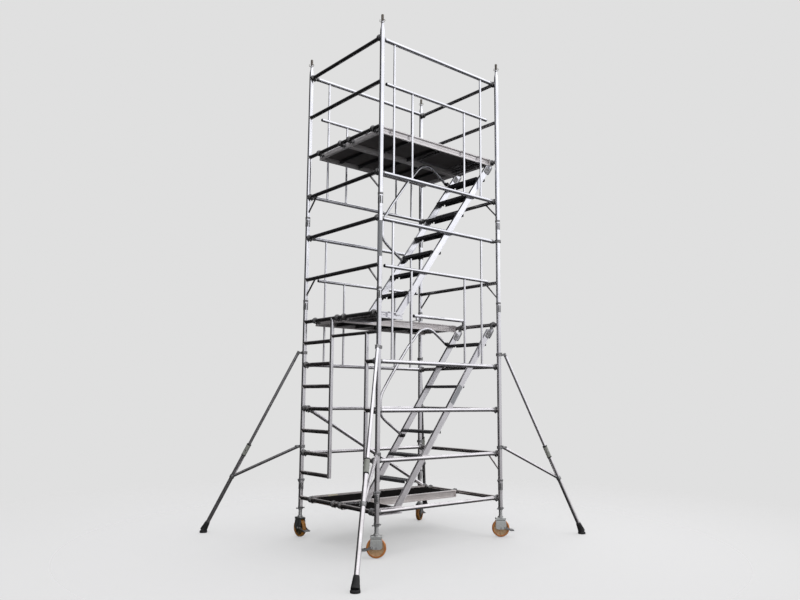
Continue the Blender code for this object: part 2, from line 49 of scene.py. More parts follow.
JAW_OUTER = 0.034
JAW_INNER = 0.0234
DECK_ABOVE = 0.008
BEAM_ABOVE = 0.0265
DECK_BELOW = 0.055
DECK_HALF = 0.845
DECK_INNER = 0.275
DECK_REAR_Y, DECK_FRONT_Y = 0.265, -0.34
BASE_FOOT, BASE_TOP, LOWER_TOP, MIDDLE_TOP, POST_TOP = 0.33, 0.53, 2.53, 3.53, 5.53
KNEE_REACH = 0.2
LADDER_Y, DOOR_Y, DOOR_FOOT = 0.14, -0.5, 4.7
DIAGONAL_INSET = 0.113
KICK_Y, KICK_HEIGHT = -0.13, 0.08
HATCH_X0, HATCH_X1, HATCH_HALF = 0.02, 0.74, 0.25
HINGES = (0.14, 0.38, 0.62)
FLIGHT, RISE = 2.0, 0.25
UPPER_CLAMP_Z, ARM_CLAMP_Z = 2.07, 1.0
SLEEVE_START, ARM_MEETS, INNER_TUBE_END = 0.52, 0.7, 0.72
GRIME_TOP, WARM_TOP, WARM_FULL = 1.3, 3.4, 0.6
FLOOR_R, FLOOR_SOLID, FLOOR_CLEAR, FLOOR_SEE_THROUGH = 9.0, 2.0, 6.5, 0.5
CAMERA_PLACE, CAMERA_LENS = (-5.4086, -6.4457, 1.5638), 32.28
CAMERA_YAW, CAMERA_PITCH, CAMERA_ROLL = 39.797, 7.732, 0.466
UP = Vector((0, 0, 1))
X = Vector((1, 0, 0))
Y = Vector((0, 1, 0))


def level(below):
    """Height of a rung, given how far it lies below the top one."""
    return TOP_RUNG - below


def mm(*values):
    """Points in metres from pairs in millimetres."""
    return [(a / 1000, b / 1000) for a, b in zip(values[::2], values[1::2])]


def corners(x0, x1, y0, y1, z):
    return [(x0, y0, z), (x1, y0, z), (x1, y1, z), (x0, y1, z)]


def link(obj):
    bpy.context.scene.collection.objects.link(obj)


# ------------------------------------------------------------------ material nodes
class Nodes:
    """Small wrapper round a material's node tree."""

    def __init__(self, name):
        self.mat = bpy.data.materials.new(name)
        self.mat.use_nodes = True
        self.tree = self.mat.node_tree
        self.shader = self.tree.nodes["Principled BSDF"]
        self.coords = self.tree.nodes.new("ShaderNodeTexCoord").outputs["Object"]

    def add(self, kind, **values):
        node = self.tree.nodes.new("ShaderNode" + kind)
        for key, value in values.items():
            if hasattr(node, key) and not key[0].isupper():
                setattr(node, key, value)
            else:
                node.inputs[key.replace("_", " ")].default_value = value
        return node

    def join(self, a, b):
        self.tree.links.new(a, b)

    def put(self, value, socket):
        if hasattr(value, "links"):
            self.join(value, socket)
        else:
            socket.default_value = (*value, 1) if hasattr(value, "__len__") else value

    def stretched(self, scale):
        node = self.add("Mapping")
        node.inputs["Scale"].default_value = scale
        self.join(self.coords, node.inputs["Vector"])
        return node.outputs["Vector"]

    def noise(self, scale, detail=4.0, vector=None, rough=0.55):
        node = self.add("TexNoise", Scale=scale, Detail=detail, Roughness=rough)
        self.join(vector or self.coords, node.inputs["Vector"])
        return node.outputs["Fac"]

    def ramp(self, source, *stops):
        node = self.add("ValToRGB")
        ramp = node.color_ramp
        while len(ramp.elements) < len(stops):
            ramp.elements.new(0.5)
        for element, (place, color) in zip(ramp.elements, stops):
            element.position = place
            element.color = (*color, 1) if hasattr(color, "__len__") else (color, color, color, 1)
        self.join(source, node.inputs["Fac"])
        return node.outputs["Color"]

    def mix(self, factor, a, b, blend="MIX"):
        node = self.tree.nodes.new("ShaderNodeMix")
        node.data_type = "RGBA"
        node.blend_type = blend
        sockets = node.inputs
        for socket, value in ((sockets[0], factor), (sockets[6], a), (sockets[7], b)):
            self.put(value, socket)
        return node.outputs[2]

    def math(self, op, a, b):
        node = self.add("Math", operation=op)
        for socket, value in zip(node.inputs, (a, b)):
            self.put(value, socket)
        return node.outputs[0]

    def times(self, a, b):
        return self.math("MULTIPLY", a, b)

    def plus(self, a, b):
        return self.math("ADD", a, b)

    def remap(self, value, low, high, to_low, to_high):
        node = self.add("MapRange", From_Min=low, From_Max=high, To_Min=to_low, To_Max=to_high)
        self.join(value, node.inputs["Value"])
        return node.outputs["Result"]

    def bump(self, height, strength, distance, after=None):
        node = self.add("Bump", Strength=strength, Distance=distance)
        self.join(height, node.inputs["Height"])
        if after is not None:
            self.join(after, node.inputs["Normal"])
        return node.outputs["Normal"]

    def finish(self, color, rough, normal=None, metallic=0.0, **fixed):
        for name, value in (("Base Color", color), ("Roughness", rough), ("Metallic", metallic),
                            ("Normal", normal)):
            if value is not None:
                self.put(value, self.shader.inputs[name])
        for name, value in fixed.items():
            self.shader.inputs[name.replace("_", " ")].default_value = value
        return self.mat


def aluminium(name, along, light=(0.9, 0.91, 0.94), dark=(0.75, 0.76, 0.8), metal=0.93):
    """Extruded tube: lines along its length (none for ""), oxide, scuffs; warmer below."""
    n = Nodes(name)

    def drawn_out(across, lengthwise):
        return n.stretched([lengthwise if axis == along else across for axis in "xyz"])

    lines = n.noise(1.0, 3.0, drawn_out(260.0 if along else 45.0, 2.5), 0.6)
    cloud = n.noise(3.2, 5.0)
    scuffs = n.ramp(n.noise(1.0, 8.0, drawn_out(26.0, 9.0), 0.75), (0.6, 0.0), (0.72, 1.0))
    color = n.mix(n.ramp(cloud, (0.35, 0.0), (0.7, 1.0)), light, dark)
    color = n.mix(n.times(lines, 0.14), color, (0.42, 0.43, 0.45))
    color = n.mix(n.times(scuffs, 0.18), color, (0.4, 0.41, 0.42))
    height = n.add("SeparateXYZ")
    n.join(n.coords, height.inputs[0])
    low = n.remap(height.outputs["Z"], GRIME_TOP, 0.0, 0.0, 0.55)
    warm = n.remap(height.outputs["Z"], WARM_TOP, WARM_FULL, 0.0, 0.6)
    color = n.mix(warm, color, n.mix(0.5, color, (0.62, 0.52, 0.47)))
    grime = n.times(n.ramp(n.noise(9.0, 6.0), (0.4, 0.0), (0.75, 1.0)), low)
    color = n.mix(grime, color, (0.33, 0.31, 0.28))
    rough = n.plus(n.times(lines, 0.12), n.times(cloud, 0.14))
    rough = n.plus(rough, n.plus(n.times(scuffs, 0.12), 0.06))
    normal = n.bump(scuffs, 0.03, 0.0006, n.bump(lines, 0.05, 0.0005))
    return n.finish(color, rough, normal, metal)


def casting(name, light=(0.42, 0.42, 0.42), dark=(0.2, 0.2, 0.2), metal=0.85):
    """Sand-cast or forged surface with grain, dark hollows and rubbed high spots."""
    n = Nodes(name)
    grain = n.noise(420.0, 4.0)
    lumps = n.noise(45.0, 4.0)
    color = n.mix(n.ramp(lumps, (0.35, 0.0), (0.65, 1.0)), dark, light)
    color = n.mix(n.times(grain, 0.4), color, dark)
    rough = n.plus(n.times(grain, 0.25), 0.33)
    normal = n.bump(lumps, 0.25, 0.001, n.bump(grain, 0.35, 0.0006))
    return n.finish(color, rough, normal, metal)


def zinc(name, dark, light, warm):
    """Zinc-plated steel: patchy spangle, slightly warm passivation, rust stain in a few places."""
    n = Nodes(name)
    cells = n.add("TexVoronoi", Scale=90.0)
    n.join(n.coords, cells.inputs["Vector"])
    patch = n.noise(14.0, 5.0)
    color = n.mix(n.ramp(cells.outputs["Color"], (0.2, 0.0), (0.9, 1.0)), dark, light)
    color = n.mix(n.times(patch, 0.5), color, warm)
    stain = n.ramp(n.noise(30.0, 8.0, None, 0.7), (0.64, 0.0), (0.74, 1.0))
    color = n.mix(n.times(stain, 0.5), color, (0.2, 0.12, 0.07))
    rough = n.plus(n.times(patch, 0.25), n.plus(n.times(stain, 0.3), 0.22))
    return n.finish(color, rough, n.bump(patch, 0.15, 0.001), 0.9)


def film_board(name, mesh_pattern=True):
    """Phenolic film on plywood: near-black, with a wire-mesh pattern on the walking side."""
    n = Nodes(name)
    cells = n.add("TexVoronoi", Scale=210.0, feature="DISTANCE_TO_EDGE")
    n.join(n.stretched((1.0, 1.0, 0.02)), cells.inputs["Vector"])
    wires = n.ramp(cells.outputs["Distance"], (0.02, 1.0), (0.1, 0.0))
    dust = n.ramp(n.noise(7.0, 7.0, None, 0.65), (0.45, 0.0), (0.8, 1.0))
    scratch = n.ramp(n.noise(1.0, 6.0, n.stretched((6.0, 60.0, 6.0)), 0.7), (0.6, 0.0), (0.7, 1.0))
    tone = (0.005, 0.012) if mesh_pattern else (0.075, 0.11)
    color = n.mix(n.noise(16.0, 4.0), (tone[0], tone[0] * 0.93, tone[0] * 0.93),
                  (tone[1], tone[1] * 0.9, tone[1] * 0.88))
    if mesh_pattern:
        color = n.mix(n.times(wires, 0.3), color, (0.03, 0.028, 0.027))
    color = n.mix(n.times(dust, 0.1), color, (0.07, 0.066, 0.063))
    color = n.mix(n.times(scratch, 0.12), color, (0.07, 0.066, 0.063))
    rough = n.plus(n.times(dust, 0.25), 0.55)
    normal = n.bump(wires, 0.5 if mesh_pattern else 0.05, 0.0008)
    return n.finish(color, rough, normal, 0.0, Specular_IOR_Level=0.0 if mesh_pattern else 0.35)


def polyurethane(name, light, dark):
    """Cast polyurethane with faint flow marks, embedded dust and rubbed tread."""
    n = Nodes(name)
    flow = n.noise(28.0, 5.0)
    dust = n.ramp(n.noise(60.0, 8.0, None, 0.7), (0.52, 0.0), (0.8, 1.0))
    color = n.mix(n.ramp(flow, (0.3, 0.0), (0.7, 1.0)), light, dark)
    color = n.mix(n.times(dust, 0.35), color, (0.24, 0.17, 0.11))
    rough = n.plus(n.times(dust, 0.35), 0.3)
    return n.finish(color, rough, n.bump(dust, 0.2, 0.0006, n.bump(flow, 0.1, 0.001)), 0.0,
                    Subsurface_Weight=0.12, Subsurface_Scale=0.01, Coat_Weight=0.15,
                    Coat_Roughness=0.35)


def rubber(name, base=(0.01, 0.01, 0.0105)):
    n = Nodes(name)
    grain = n.noise(350.0, 4.0)
    dust = n.ramp(n.noise(18.0, 7.0, None, 0.7), (0.45, 0.0), (0.78, 1.0))
    color = n.mix(n.times(dust, 0.22), base, (0.1, 0.095, 0.09))
    rough = n.plus(n.times(grain, 0.2), 0.62)
    return n.finish(color, rough, n.bump(grain, 0.3, 0.0005), 0.0)


def plastic(name, base, worn):
    n = Nodes(name)
    grain = n.noise(600.0, 2.0)
    wear = n.ramp(n.noise(24.0, 8.0, None, 0.7), (0.55, 0.0), (0.75, 1.0))
    color = n.mix(n.times(wear, 0.5), base, worn)
    rough = n.plus(n.times(wear, 0.2), 0.38)
    return n.finish(color, rough, n.bump(grain, 0.2, 0.0003), 0.0)


ALU_X = aluminium("aluminium_along_x", "x")
# Tubes along y (rungs, knee braces, ladder and hatch sections) get a darker copy of the tube
# aluminium: painted shade that keeps their tops from catching a bright highlight.
ALU_Y_SHADED = aluminium("aluminium_along_y_shaded", "y", (0.6, 0.59, 0.59), (0.4, 0.39, 0.39), 0.97)
ALU_Z = aluminium("aluminium_along_z", "z")
ALU_SLANT = aluminium("aluminium_slanting", "")
# Deck beams: alloy grey, partly painted reflection; the warm brown-grey tone and low metallic value
# stand in for the dark surroundings the alloy reflects.
DECK_ALU_PAINTED_REFLECTION = aluminium("deck_beam_alloy_painted_reflection", "x", (0.78, 0.76, 0.76), (0.62, 0.59, 0.58), 0.35)
CAST = casting("cast_aluminium")
CAST_DARK = casting("dark_casting", (0.2, 0.205, 0.2), (0.09, 0.09, 0.09), 0.7)
ZINC = zinc("zinc_plate", (0.47, 0.48, 0.49), (0.62, 0.63, 0.63), (0.5, 0.49, 0.43))
STEEL = zinc("bright_zinc_plate", (0.68, 0.7, 0.69), (0.82, 0.84, 0.82), (0.66, 0.67, 0.6))
BOARD_TOP = film_board("board_walking_side")
BOARD_UNDER = film_board("board_underside", False)
AMBER = polyurethane("amber_polyurethane", (0.52, 0.2, 0.045), (0.36, 0.12, 0.025))
TAN = polyurethane("tan_centre", (0.56, 0.38, 0.21), (0.44, 0.28, 0.14))
# Darker copies of the wheel materials for the rear castors: partly dirt, partly painted shade for
# wheels that sit in shadow.
AMBER_DIRT_AND_SHADE = polyurethane("dirty_and_shaded_amber_polyurethane", (0.4, 0.17, 0.025), (0.16, 0.065, 0.015))
TAN_DIRT_AND_SHADE = polyurethane("dirty_and_shaded_centre", (0.1, 0.075, 0.035), (0.018, 0.017, 0.012))
TREAD = casting("dark_tread", (0.13, 0.13, 0.135), (0.06, 0.06, 0.065), 0.55)
RUBBER = rubber("black_rubber")
BLACK = plastic("black_plastic", (0.02, 0.02, 0.021), (0.09, 0.09, 0.09))
LABEL_GREY = plastic("grey_band", (0.26, 0.27, 0.28), (0.18, 0.18, 0.19))
SLEEVE = plastic("grey_sleeve", (0.24, 0.25, 0.22), (0.15, 0.16, 0.14))
PIN_STEEL = zinc("dark_pin_steel", (0.1, 0.095, 0.085), (0.2, 0.19, 0.17), (0.13, 0.1, 0.075))
LABEL_CREAM = plastic("cream_band", (0.62, 0.58, 0.44), (0.45, 0.42, 0.33))


# ------------------------------------------------------------------ shapes
def frame_of(direction):
    """Two unit vectors square to a direction."""
    d = Vector(direction).normalized()
    helper = UP if abs(d.z) < 0.9 else X
    u = helper.cross(d).normalized()
    return u, d.cross(u)


def circle(centre, direction, radius, sides):
    u, v = frame_of(direction)
    c = Vector(centre)
    return [c + o for o in disc_ring(u, v, radius, sides)]


def disc_ring(u, v, radius, sides):
    """Points of a circle round the origin in the plane of u and v."""
    return [(u * math.cos(t) + v * math.sin(t)) * radius
            for t in (math.tau * i / sides for i in range(sides))]


def rounded(outline, radius, steps=3):
    """2D outline with its corners rounded."""
    out = []
    count = len(outline)
    for i in range(count):
        p = Vector(outline[i]).to_2d()
        a = Vector(outline[i - 1]).to_2d() - p
        b = Vector(outline[(i + 1) % count]).to_2d() - p
        r = min(radius, a.length * 0.45, b.length * 0.45)
        pa, pb = p + a.normalized() * r, p + b.normalized() * r
        for s in range(steps + 1):
            t = s / steps
            out.append(tuple(pa * (1 - t) ** 2 + p * 2 * t * (1 - t) + pb * t * t))
    return out


class Piece:
    """Collects the meshes of one named piece, each face with its material."""

    def __init__(self, name):
        self.name = name
        self.bm = bmesh.new()
        self.mats = []

    def slot(self, mat):
        if mat not in self.mats:
            self.mats.append(mat)
        return self.mats.index(mat)

    def skin(self, rings, mat, loop=False, caps=True):
        """Surface through rings of equal size; loop joins the last to the first."""
        index = self.slot(mat)
        rows = [[self.bm.verts.new(p) for p in ring] for ring in rings]
        count = len(rows[0])
        pairs = list(zip(rows, rows[1:] + rows[:1])) if loop else list(zip(rows, rows[1:]))
        for low, high in pairs:
            for i in range(count):
                j = (i + 1) % count
                self.bm.faces.new((low[i], low[j], high[j], high[i])).material_index = index
        if caps and not loop:
            self.bm.faces.new(list(reversed(rows[0]))).material_index = index
            self.bm.faces.new(rows[-1]).material_index = index

    def rod(self, a, b, radius, mat, sides=24, chamfer=0.0012):
        a, b = Vector(a), Vector(b)
        d = (b - a).normalized()
        self.skin([circle(a, d, radius - chamfer, sides), circle(a + d * chamfer, d, radius, sides),
                   circle(b - d * chamfer, d, radius, sides),
                   circle(b, d, radius - chamfer, sides)], mat)

    def pipe(self, a, b, outer, inner, mat, sides=28):
        """Open tube with a wall."""
        a, b = Vector(a), Vector(b)
        d = (b - a).normalized()
        e = min(0.001, (outer - inner) * 0.3)
        self.skin([circle(a, d, inner, sides), circle(a, d, outer - e, sides),
                   circle(a + d * e, d, outer, sides), circle(b - d * e, d, outer, sides),
                   circle(b, d, outer - e, sides), circle(b, d, inner, sides)], mat, loop=True)

    def lathe(self, origin, axis, profile, mat, sides=32, closed=False):
        """Turned shape from (radius, height) points; closed joins the profile to its start."""
        o, d = Vector(origin), Vector(axis).normalized()
        rings = [circle(o + d * h, d, max(r, 0.00005), sides) for r, h in profile]
        self.skin(rings, mat, loop=closed)

    def sweep(self, points, radius, mat, sides=16, wobble=0.0, closed=False):
        """Round bar along a path, with carried-along cross sections."""
        pts = [Vector(p) for p in points]
        count = len(pts)
        rings = []
        u = None
        for i, p in enumerate(pts):
            before = pts[i - 1] if (i or closed) else p
            after = pts[(i + 1) % count] if (i < count - 1 or closed) else p
            d = (after - before).normalized()
            u = frame_of(d)[0] if u is None else (u - d * u.dot(d)).normalized()
            v = d.cross(u)
            r = radius * (1 + wobble * math.sin(i * 2.6))
            rings.append([p + o for o in disc_ring(u, v, r, sides)])
        self.skin(rings, mat, loop=closed)

    def extrude(self, outline, start, end, side, up, mat):
        """Straight profile: outline in (side, up) metres, from start to end."""
        a, b, s, u = Vector(start), Vector(end), Vector(side), Vector(up)
        self.skin([[a + s * p[0] + u * p[1] for p in outline],
                   [b + s * p[0] + u * p[1] for p in outline]], mat)

    def box(self, low, high, mat, bevel=0.002, turn=None):
        low, high = Vector(low), Vector(high)
        size = high - low
        matrix = Matrix.Translation((low + high) / 2) @ Matrix.Diagonal((*size, 1.0))
        if turn is not None:
            matrix = turn @ matrix
        made = bmesh.ops.create_cube(self.bm, size=1.0, matrix=matrix)
        faces = {f for v in made["verts"] for f in v.link_faces}
        for f in faces:
            f.material_index = self.slot(mat)
        if bevel:
            edges = list({e for v in made["verts"] for e in v.link_edges})
            width = min(bevel, min(size) * 0.4)
            bmesh.ops.bevel(self.bm, geom=edges, offset=width, segments=2, affect="EDGES",
                            profile=0.6, material=-1)

    def slab(self, outline, centre, u, v, thickness, mat, bevel=0.0012):
        """Plate with a 2D outline, its middle plane through centre, with eased edges."""
        c, u, v = Vector(centre), Vector(u), Vector(v)
        n = u.cross(v).normalized()
        flat = [Vector(p).to_2d() for p in outline]
        area = sum(a.x * b.y - b.x * a.y for a, b in zip(flat, flat[1:] + flat[:1]))
        if area < 0:
            flat.reverse()
        count = len(flat)
        inner = []
        for i in range(count):
            e1 = (flat[i] - flat[i - 1]).normalized()
            e2 = (flat[(i + 1) % count] - flat[i]).normalized()
            out = Vector((e1.y + e2.y, -e1.x - e2.x))
            out = out.normalized() if out.length > 1e-6 else Vector((0, 0))
            inner.append(flat[i] - out * bevel)
        half = thickness / 2
        rings = [[c + u * p.x + v * p.y + n * h for p in points] for points,
                 h in ((inner, -half), (flat, -half + bevel), (flat, half - bevel), (inner, half))]
        self.skin(rings, mat)

    def bolt(self, centre, axis, radius, mat, height=None):
        """Hex head on a washer."""
        c, d = Vector(centre), Vector(axis).normalized()
        h = height or radius * 1.1
        self.lathe(c, d, ((radius * 1.5, 0), (radius * 1.5, 0.0012), (radius * 1.42, 0.0016)), mat,
                   20)
        rings = [circle(c + d * z, d, r, 6) for z, r in ((0.001, radius), (h - 0.0008, radius),
                (h, radius * 0.88))]
        self.skin(rings, mat)

    def rivet(self, centre, axis, radius, mat):
        profile = [(radius, 0)] + [(radius * math.cos(t), radius * 0.45 * math.sin(t))
                                   for t in (0.5, 1.0, 1.4)]
        self.lathe(centre, axis, profile, mat, 12)

    def done(self, body, nodes=(), smooth=32.0):
        """Turns the collected mesh into the named object and hands it to its body."""
        bmesh.ops.recalc_face_normals(self.bm, faces=self.bm.faces)
        mesh = bpy.data.meshes.new(self.name)
        self.bm.to_mesh(mesh)
        self.bm.free()
        for mat in self.mats:
            mesh.materials.append(mat)
        for face in mesh.polygons:
            face.use_smooth = True
        mesh.set_sharp_from_angle(angle=math.radians(smooth))
        obj = bpy.data.objects.new(self.name, mesh)
        link(obj)
        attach(obj, body)
        if nodes:
            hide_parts(*nodes)
        return obj


def arc(radius, first, last, steps):
    """Points on an arc round the origin, angles in degrees."""
    return [(radius * math.cos(math.radians(first + (last - first) * i / steps)),
             radius * math.sin(math.radians(first + (last - first) * i / steps)))
            for i in range(steps + 1)]


SOCKET = mm(10, -4, 20.5, -2, 24.5, 3, 25, 30, 22.2, 33.5)


def jaw(p, centre, out, width, neck=0.045, half_neck=0.019, up=UP):
    """Hook and latch over a rung at centre; out points away from the rail."""
    c, out = Vector(centre), Vector(out).normalized()
    up = Vector(up).normalized()
    side = out.cross(up)
    outline = arc(JAW_OUTER, -58, 138, 16)
    outline += [(-neck, half_neck), (-neck, -half_neck), (-0.0295, -half_neck)]
    outline += arc(JAW_INNER, 218, -52, 18)
    p.slab(outline, c, out, up, width, CAST)
    rib = arc(JAW_OUTER + 0.003, 20, 120, 8) + arc(JAW_OUTER - 0.002, 120, 20, 8)
    p.slab(rib, c, out, up, width * 0.3, CAST, 0.0008)
    shape = rounded(mm(-34, -16, -24, -20, 4, -24.5, 19, -24, 21, -31, 0, -34, -22, -36, -36, -30),
                    0.003)
    p.slab(shape, c, out, up, width * 0.55, BLACK, 0.0008)
    p.rod(c - out * 0.031 - up * 0.023 + side * width * 0.55,
          c - out * 0.031 - up * 0.023 - side * width * 0.55, 0.0035, ZINC, 12, 0.0005)
    knob = c - out * 0.02 - up * 0.034
    p.lathe(knob, -up, mm(6, 0, 6.5, 3, 6.5, 7, 4, 9), BLACK, 14)


def rail_end(p, centre, out):
    """Hook with the socket that takes the end of a long rail."""
    c, out = Vector(centre), Vector(out).normalized()
    jaw(p, c, out, 0.032)
    back = c - out * 0.04
    p.lathe(back, -out, SOCKET[:4] + mm(23.5, 33) + SOCKET[4:], CAST, 28)
    side = out.cross(UP)
    for sign in (-1, 1):
        p.rivet(c - out * 0.058 + side * sign * 0.0245, side * sign, 0.0042, ZINC)


# ------------------------------------------------------------------ end frames
def reach_to(axis_point, axis, start, direction, radius):
    """How far start must travel along direction to meet a round bar's surface from its inside."""
    e, d = Vector(axis).normalized(), Vector(direction)
    o = Vector(start) - Vector(axis_point)
    w, v = o - e * o.dot(e), d - e * d.dot(e)
    a, b, c = v.dot(v), w.dot(v), w.dot(w) - radius ** 2
    return (-b + math.sqrt(max(b * b - a * c, 0.0))) / a


def coped(p, a, b, radius, mat, post_a=None, post_b=None, sides=24, bead=True):
    """Bar whose ends are cut to sit on round posts; a post is (point, axis, radius)."""
    a, b = Vector(a), Vector(b)
    d = (b - a).normalized()
    u, v = frame_of(d)
    ring = disc_ring(u, v, radius, sides)
    rows = []
    for end, post, sign in ((a, post_a, 1), (b, post_b, -1)):
        row = []
        for o in ring:
            shift = reach_to(post[0], post[1], end + o, d * sign, post[2]) - 0.0012 if post else 0.0
            row.append(end + o + d * sign * shift)
        rows.append(row)
        if post and bead:
            path = [end + o + d * sign * (reach_to(post[0], post[1], end + o, d * sign,
                    post[2]) + 0.0008) for o in disc_ring(u, v, radius + 0.0012, 28)]
            p.sweep(path, min(0.0032, radius * 0.22), mat, 7, 0.14, True)
    p.skin(rows, mat)


def post_at(x, y):
    return ((x, y, 0), UP, POST_R)


def clip(p, x, y, z, wide):
    """Interlock clip near the foot of a frame post: cross lug, leaf spring and its rivet."""
    c = Vector((x, y, z))
    p.rod(c - X * wide, c + X * wide, 0.009, CAST, 20, 0.0015)
    p.lathe(c - UP * 0.012, UP, ((POST_R + 0.0002, 0), (0.0288, 0.0012), (0.0294, 0.012),
                                 (0.0288, 0.0228), (POST_R + 0.0002, 0.024)), CAST, 28)
    ear = rounded(((-wide, 0.004), (-wide, -0.006), (-0.029, -0.03), (-0.0262, -0.062),
                   (0.0262, -0.062), (0.029, -0.03), (wide, -0.006), (wide, 0.004)), 0.004)
    p.slab(ear, c, X, UP, 0.016, CAST, 0.0015)
    out = Vector((-0.55, -0.835, 0)).normalized()
    spring = rounded(mm(-8.5, -108, 8.5, -108, 7, -24, -7, -24), 0.003)
    for turn in (-62, 0, 62):
        face = Matrix.Rotation(math.radians(turn), 3, "Z") @ out
        p.slab(spring, c + face * 0.0262, face.cross(UP), UP, 0.0028, CAST_DARK, 0.0008)
    for height in (-0.098, -0.036):
        p.rivet(c + out * 0.0276 + UP * height, out, 0.004, ZINC)


def free_spigot(p, x, y, top):
    """Necked post top with the slim connecting pin of the uppermost frames."""
    p.lathe((x, y, top - 0.062), UP, ((0.0222, 0), (POST_R, 0.0006), (POST_R, 0.01),
            (0.0238, 0.038), (0.0205, 0.061), (0.0162, 0.08), (0.015, 0.092), (0.015, 0.136),
            (0.0146, 0.1365), (0.012, 0.1365), (0.012, 0.08)), ALU_Z, 32, True)
    p.lathe((x, y, top + 0.06), UP, mm(12, 0, 14.7, 0, 14.7, 80, 13.7, 88, 12, 89.8), PIN_STEEL, 28,
            True)
    out, across = Vector((-0.64, -0.77, 0)), Vector((0.77, -0.64, 0))
    c = Vector((x, y, top + 0.07)) + out * 0.0185
    p.rod(c - out * 0.038, c + out * 0.004, 0.0045, PIN_STEEL, 16, 0.001)
    bow = [c + across * side + UP * high for side, high in ((0.0, 0.002), (0.024, 0.016),
            (0.029, 0.004), (0.014, -0.016), (-0.012, -0.017), (-0.03, -0.01), (-0.026, 0.014))]
    p.sweep(bow, 0.003, PIN_STEEL, 10)


def frame_posts(p, x, bottom, top, through=False):
    for side in (-1, 1):
        y = side * YP
        free = top == POST_TOP
        p.pipe((x, y, bottom + 0.0003), (x, y, top - (0.06 if free else 0)), POST_R, 0.0228, ALU_Z,
               32)
        if free:
            free_spigot(p, x, y, top)
        else:
            p.lathe((x, y, top - 0.05), UP, ((0.0212, 0), (0.0226, 0), (SPIGOT_R, 0.05),
                    (SPIGOT_R, 0.186), (0.0216, 0.199), (0.0214, 0.2), (0.0212, 0.2)), ALU_Z, 32,
                    True)
        if not through:
            low = bottom < 1.0
            clip(p, x, y, bottom + (0.1 if low else 0.15), 0.043 if low else 0.031)


def rungs(p, x, z, y0, y1, post0=POST_R, post1=POST_R):
    coped(p, (x, y0, z), (x, y1, z), RUNG_R, ALU_Y_SHADED, ((x, y0, 0), UP, post0),
          ((x, y1, 0), UP, post1), 32)


def knees(p, x, z):
    for side in (-1, 1):
        a, b = (x, side * 0.5, z), (x, side * YP, z - KNEE_REACH)
        coped(p, a, b, 0.01, ALU_Y_SHADED, ((x, 0, z), Y, RUNG_R), post_at(x, side * YP), 16)


def frame_piece(name, x, bottom, top, steps, through=False):
    p = Piece("look_" + name)
    frame_posts(p, x, bottom, top, through)
    for below in steps:
        rungs(p, x, level(below), -YP, YP)
    if not through:
        knees(p, x, level(max(steps)))
    if name == "middle_frame_end_a":
        z = level(2.0)
        p.pipe((x, -YP, z - 0.42), (x, -YP, z - 0.04), POST_R + 0.0007, POST_R - 0.0004, LABEL_GREY,
               32)
    p.done("tower", (name,))


def ladder_piece():
    """Lower frame of end A: a ladder beside a walk-through opening."""
    x = -XE
    p = Piece("look_lower_frame_end_a")
    frame_posts(p, x, BASE_TOP, LOWER_TOP)
    rungs(p, x, level(3.0), -YP, YP)
    head = level(3.2)
    top = ((x, 0, level(3.0)), Y, RUNG_R)
    coped(p, (x, LADDER_Y, level(4.738)), (x, LADDER_Y, level(3.0)), RUNG_R, ALU_Z, None, top)
    p.rod((x, LADDER_Y, level(4.74)), (x, LADDER_Y, level(4.735)), 0.0215, BLACK, 24, 0.002)
    p.rod((x, DOOR_Y, level(DOOR_FOOT)), (x, DOOR_Y, head), RUNG_R, ALU_Z, 28)
    p.rod((x, DOOR_Y, level(DOOR_FOOT) - 0.004), (x, DOOR_Y, level(DOOR_FOOT) + 0.012), 0.0215,
          BLACK, 24, 0.003)
    slim = ((x, -YP, 0), UP, POST_R), ((x, LADDER_Y, 0), UP, RUNG_R)
    coped(p, (x, -YP, head), (x, LADDER_Y, head), 0.0175, ALU_Y_SHADED, *slim)
    for below in (3.25, 3.5, 3.75, 4.0, 4.25, 4.5, 4.72):
        rungs(p, x, level(below), LADDER_Y, YP, RUNG_R)
    for below in (3.5, 4.0, 4.5):
        rungs(p, x, level(below), -YP, DOOR_Y, POST_R, RUNG_R)
    p.done("tower", ("lower_frame_end_a",))


# ------------------------------------------------------------------ rails
def long_tube(p, y, z, radius, start, end):
    p.rod((start, y, z), (end, y, z), radius, ALU_X, 28)


def hooked_rail(p, y, z, ends=(-1, 1)):
    """Tube with a hook at each end that ends names; without one it runs on to the end-B post."""
    long_tube(p, y, z, RAIL_R, -XE + 0.05, XE - 0.05 if 1 in ends else XE - 0.02)
    for end in ends:
        rail_end(p, (end * XE, y, z), (end, 0, 0))


def post_hook(p, y, z, side):
    """Swivel hook that closes round the end-B post."""
    c = Vector((XE, side * YP, z))
    p.lathe(c - UP * 0.0165, UP, mm(27, 0, 36, 0, 38.5, 3, 38.5, 30, 36, 33, 27, 33), CAST, 32,
            True)
    low, high = sorted((y - side * 0.01, side * YP - side * 0.029))
    p.box((XE - 0.043, low, z - 0.014), (XE - 0.008, high, z + 0.014), CAST, 0.004)
    p.lathe((XE - 0.04, y, z), -X, SOCKET, CAST, 28)
    p.bolt(c + X * 0.037, X, 0.006, ZINC)


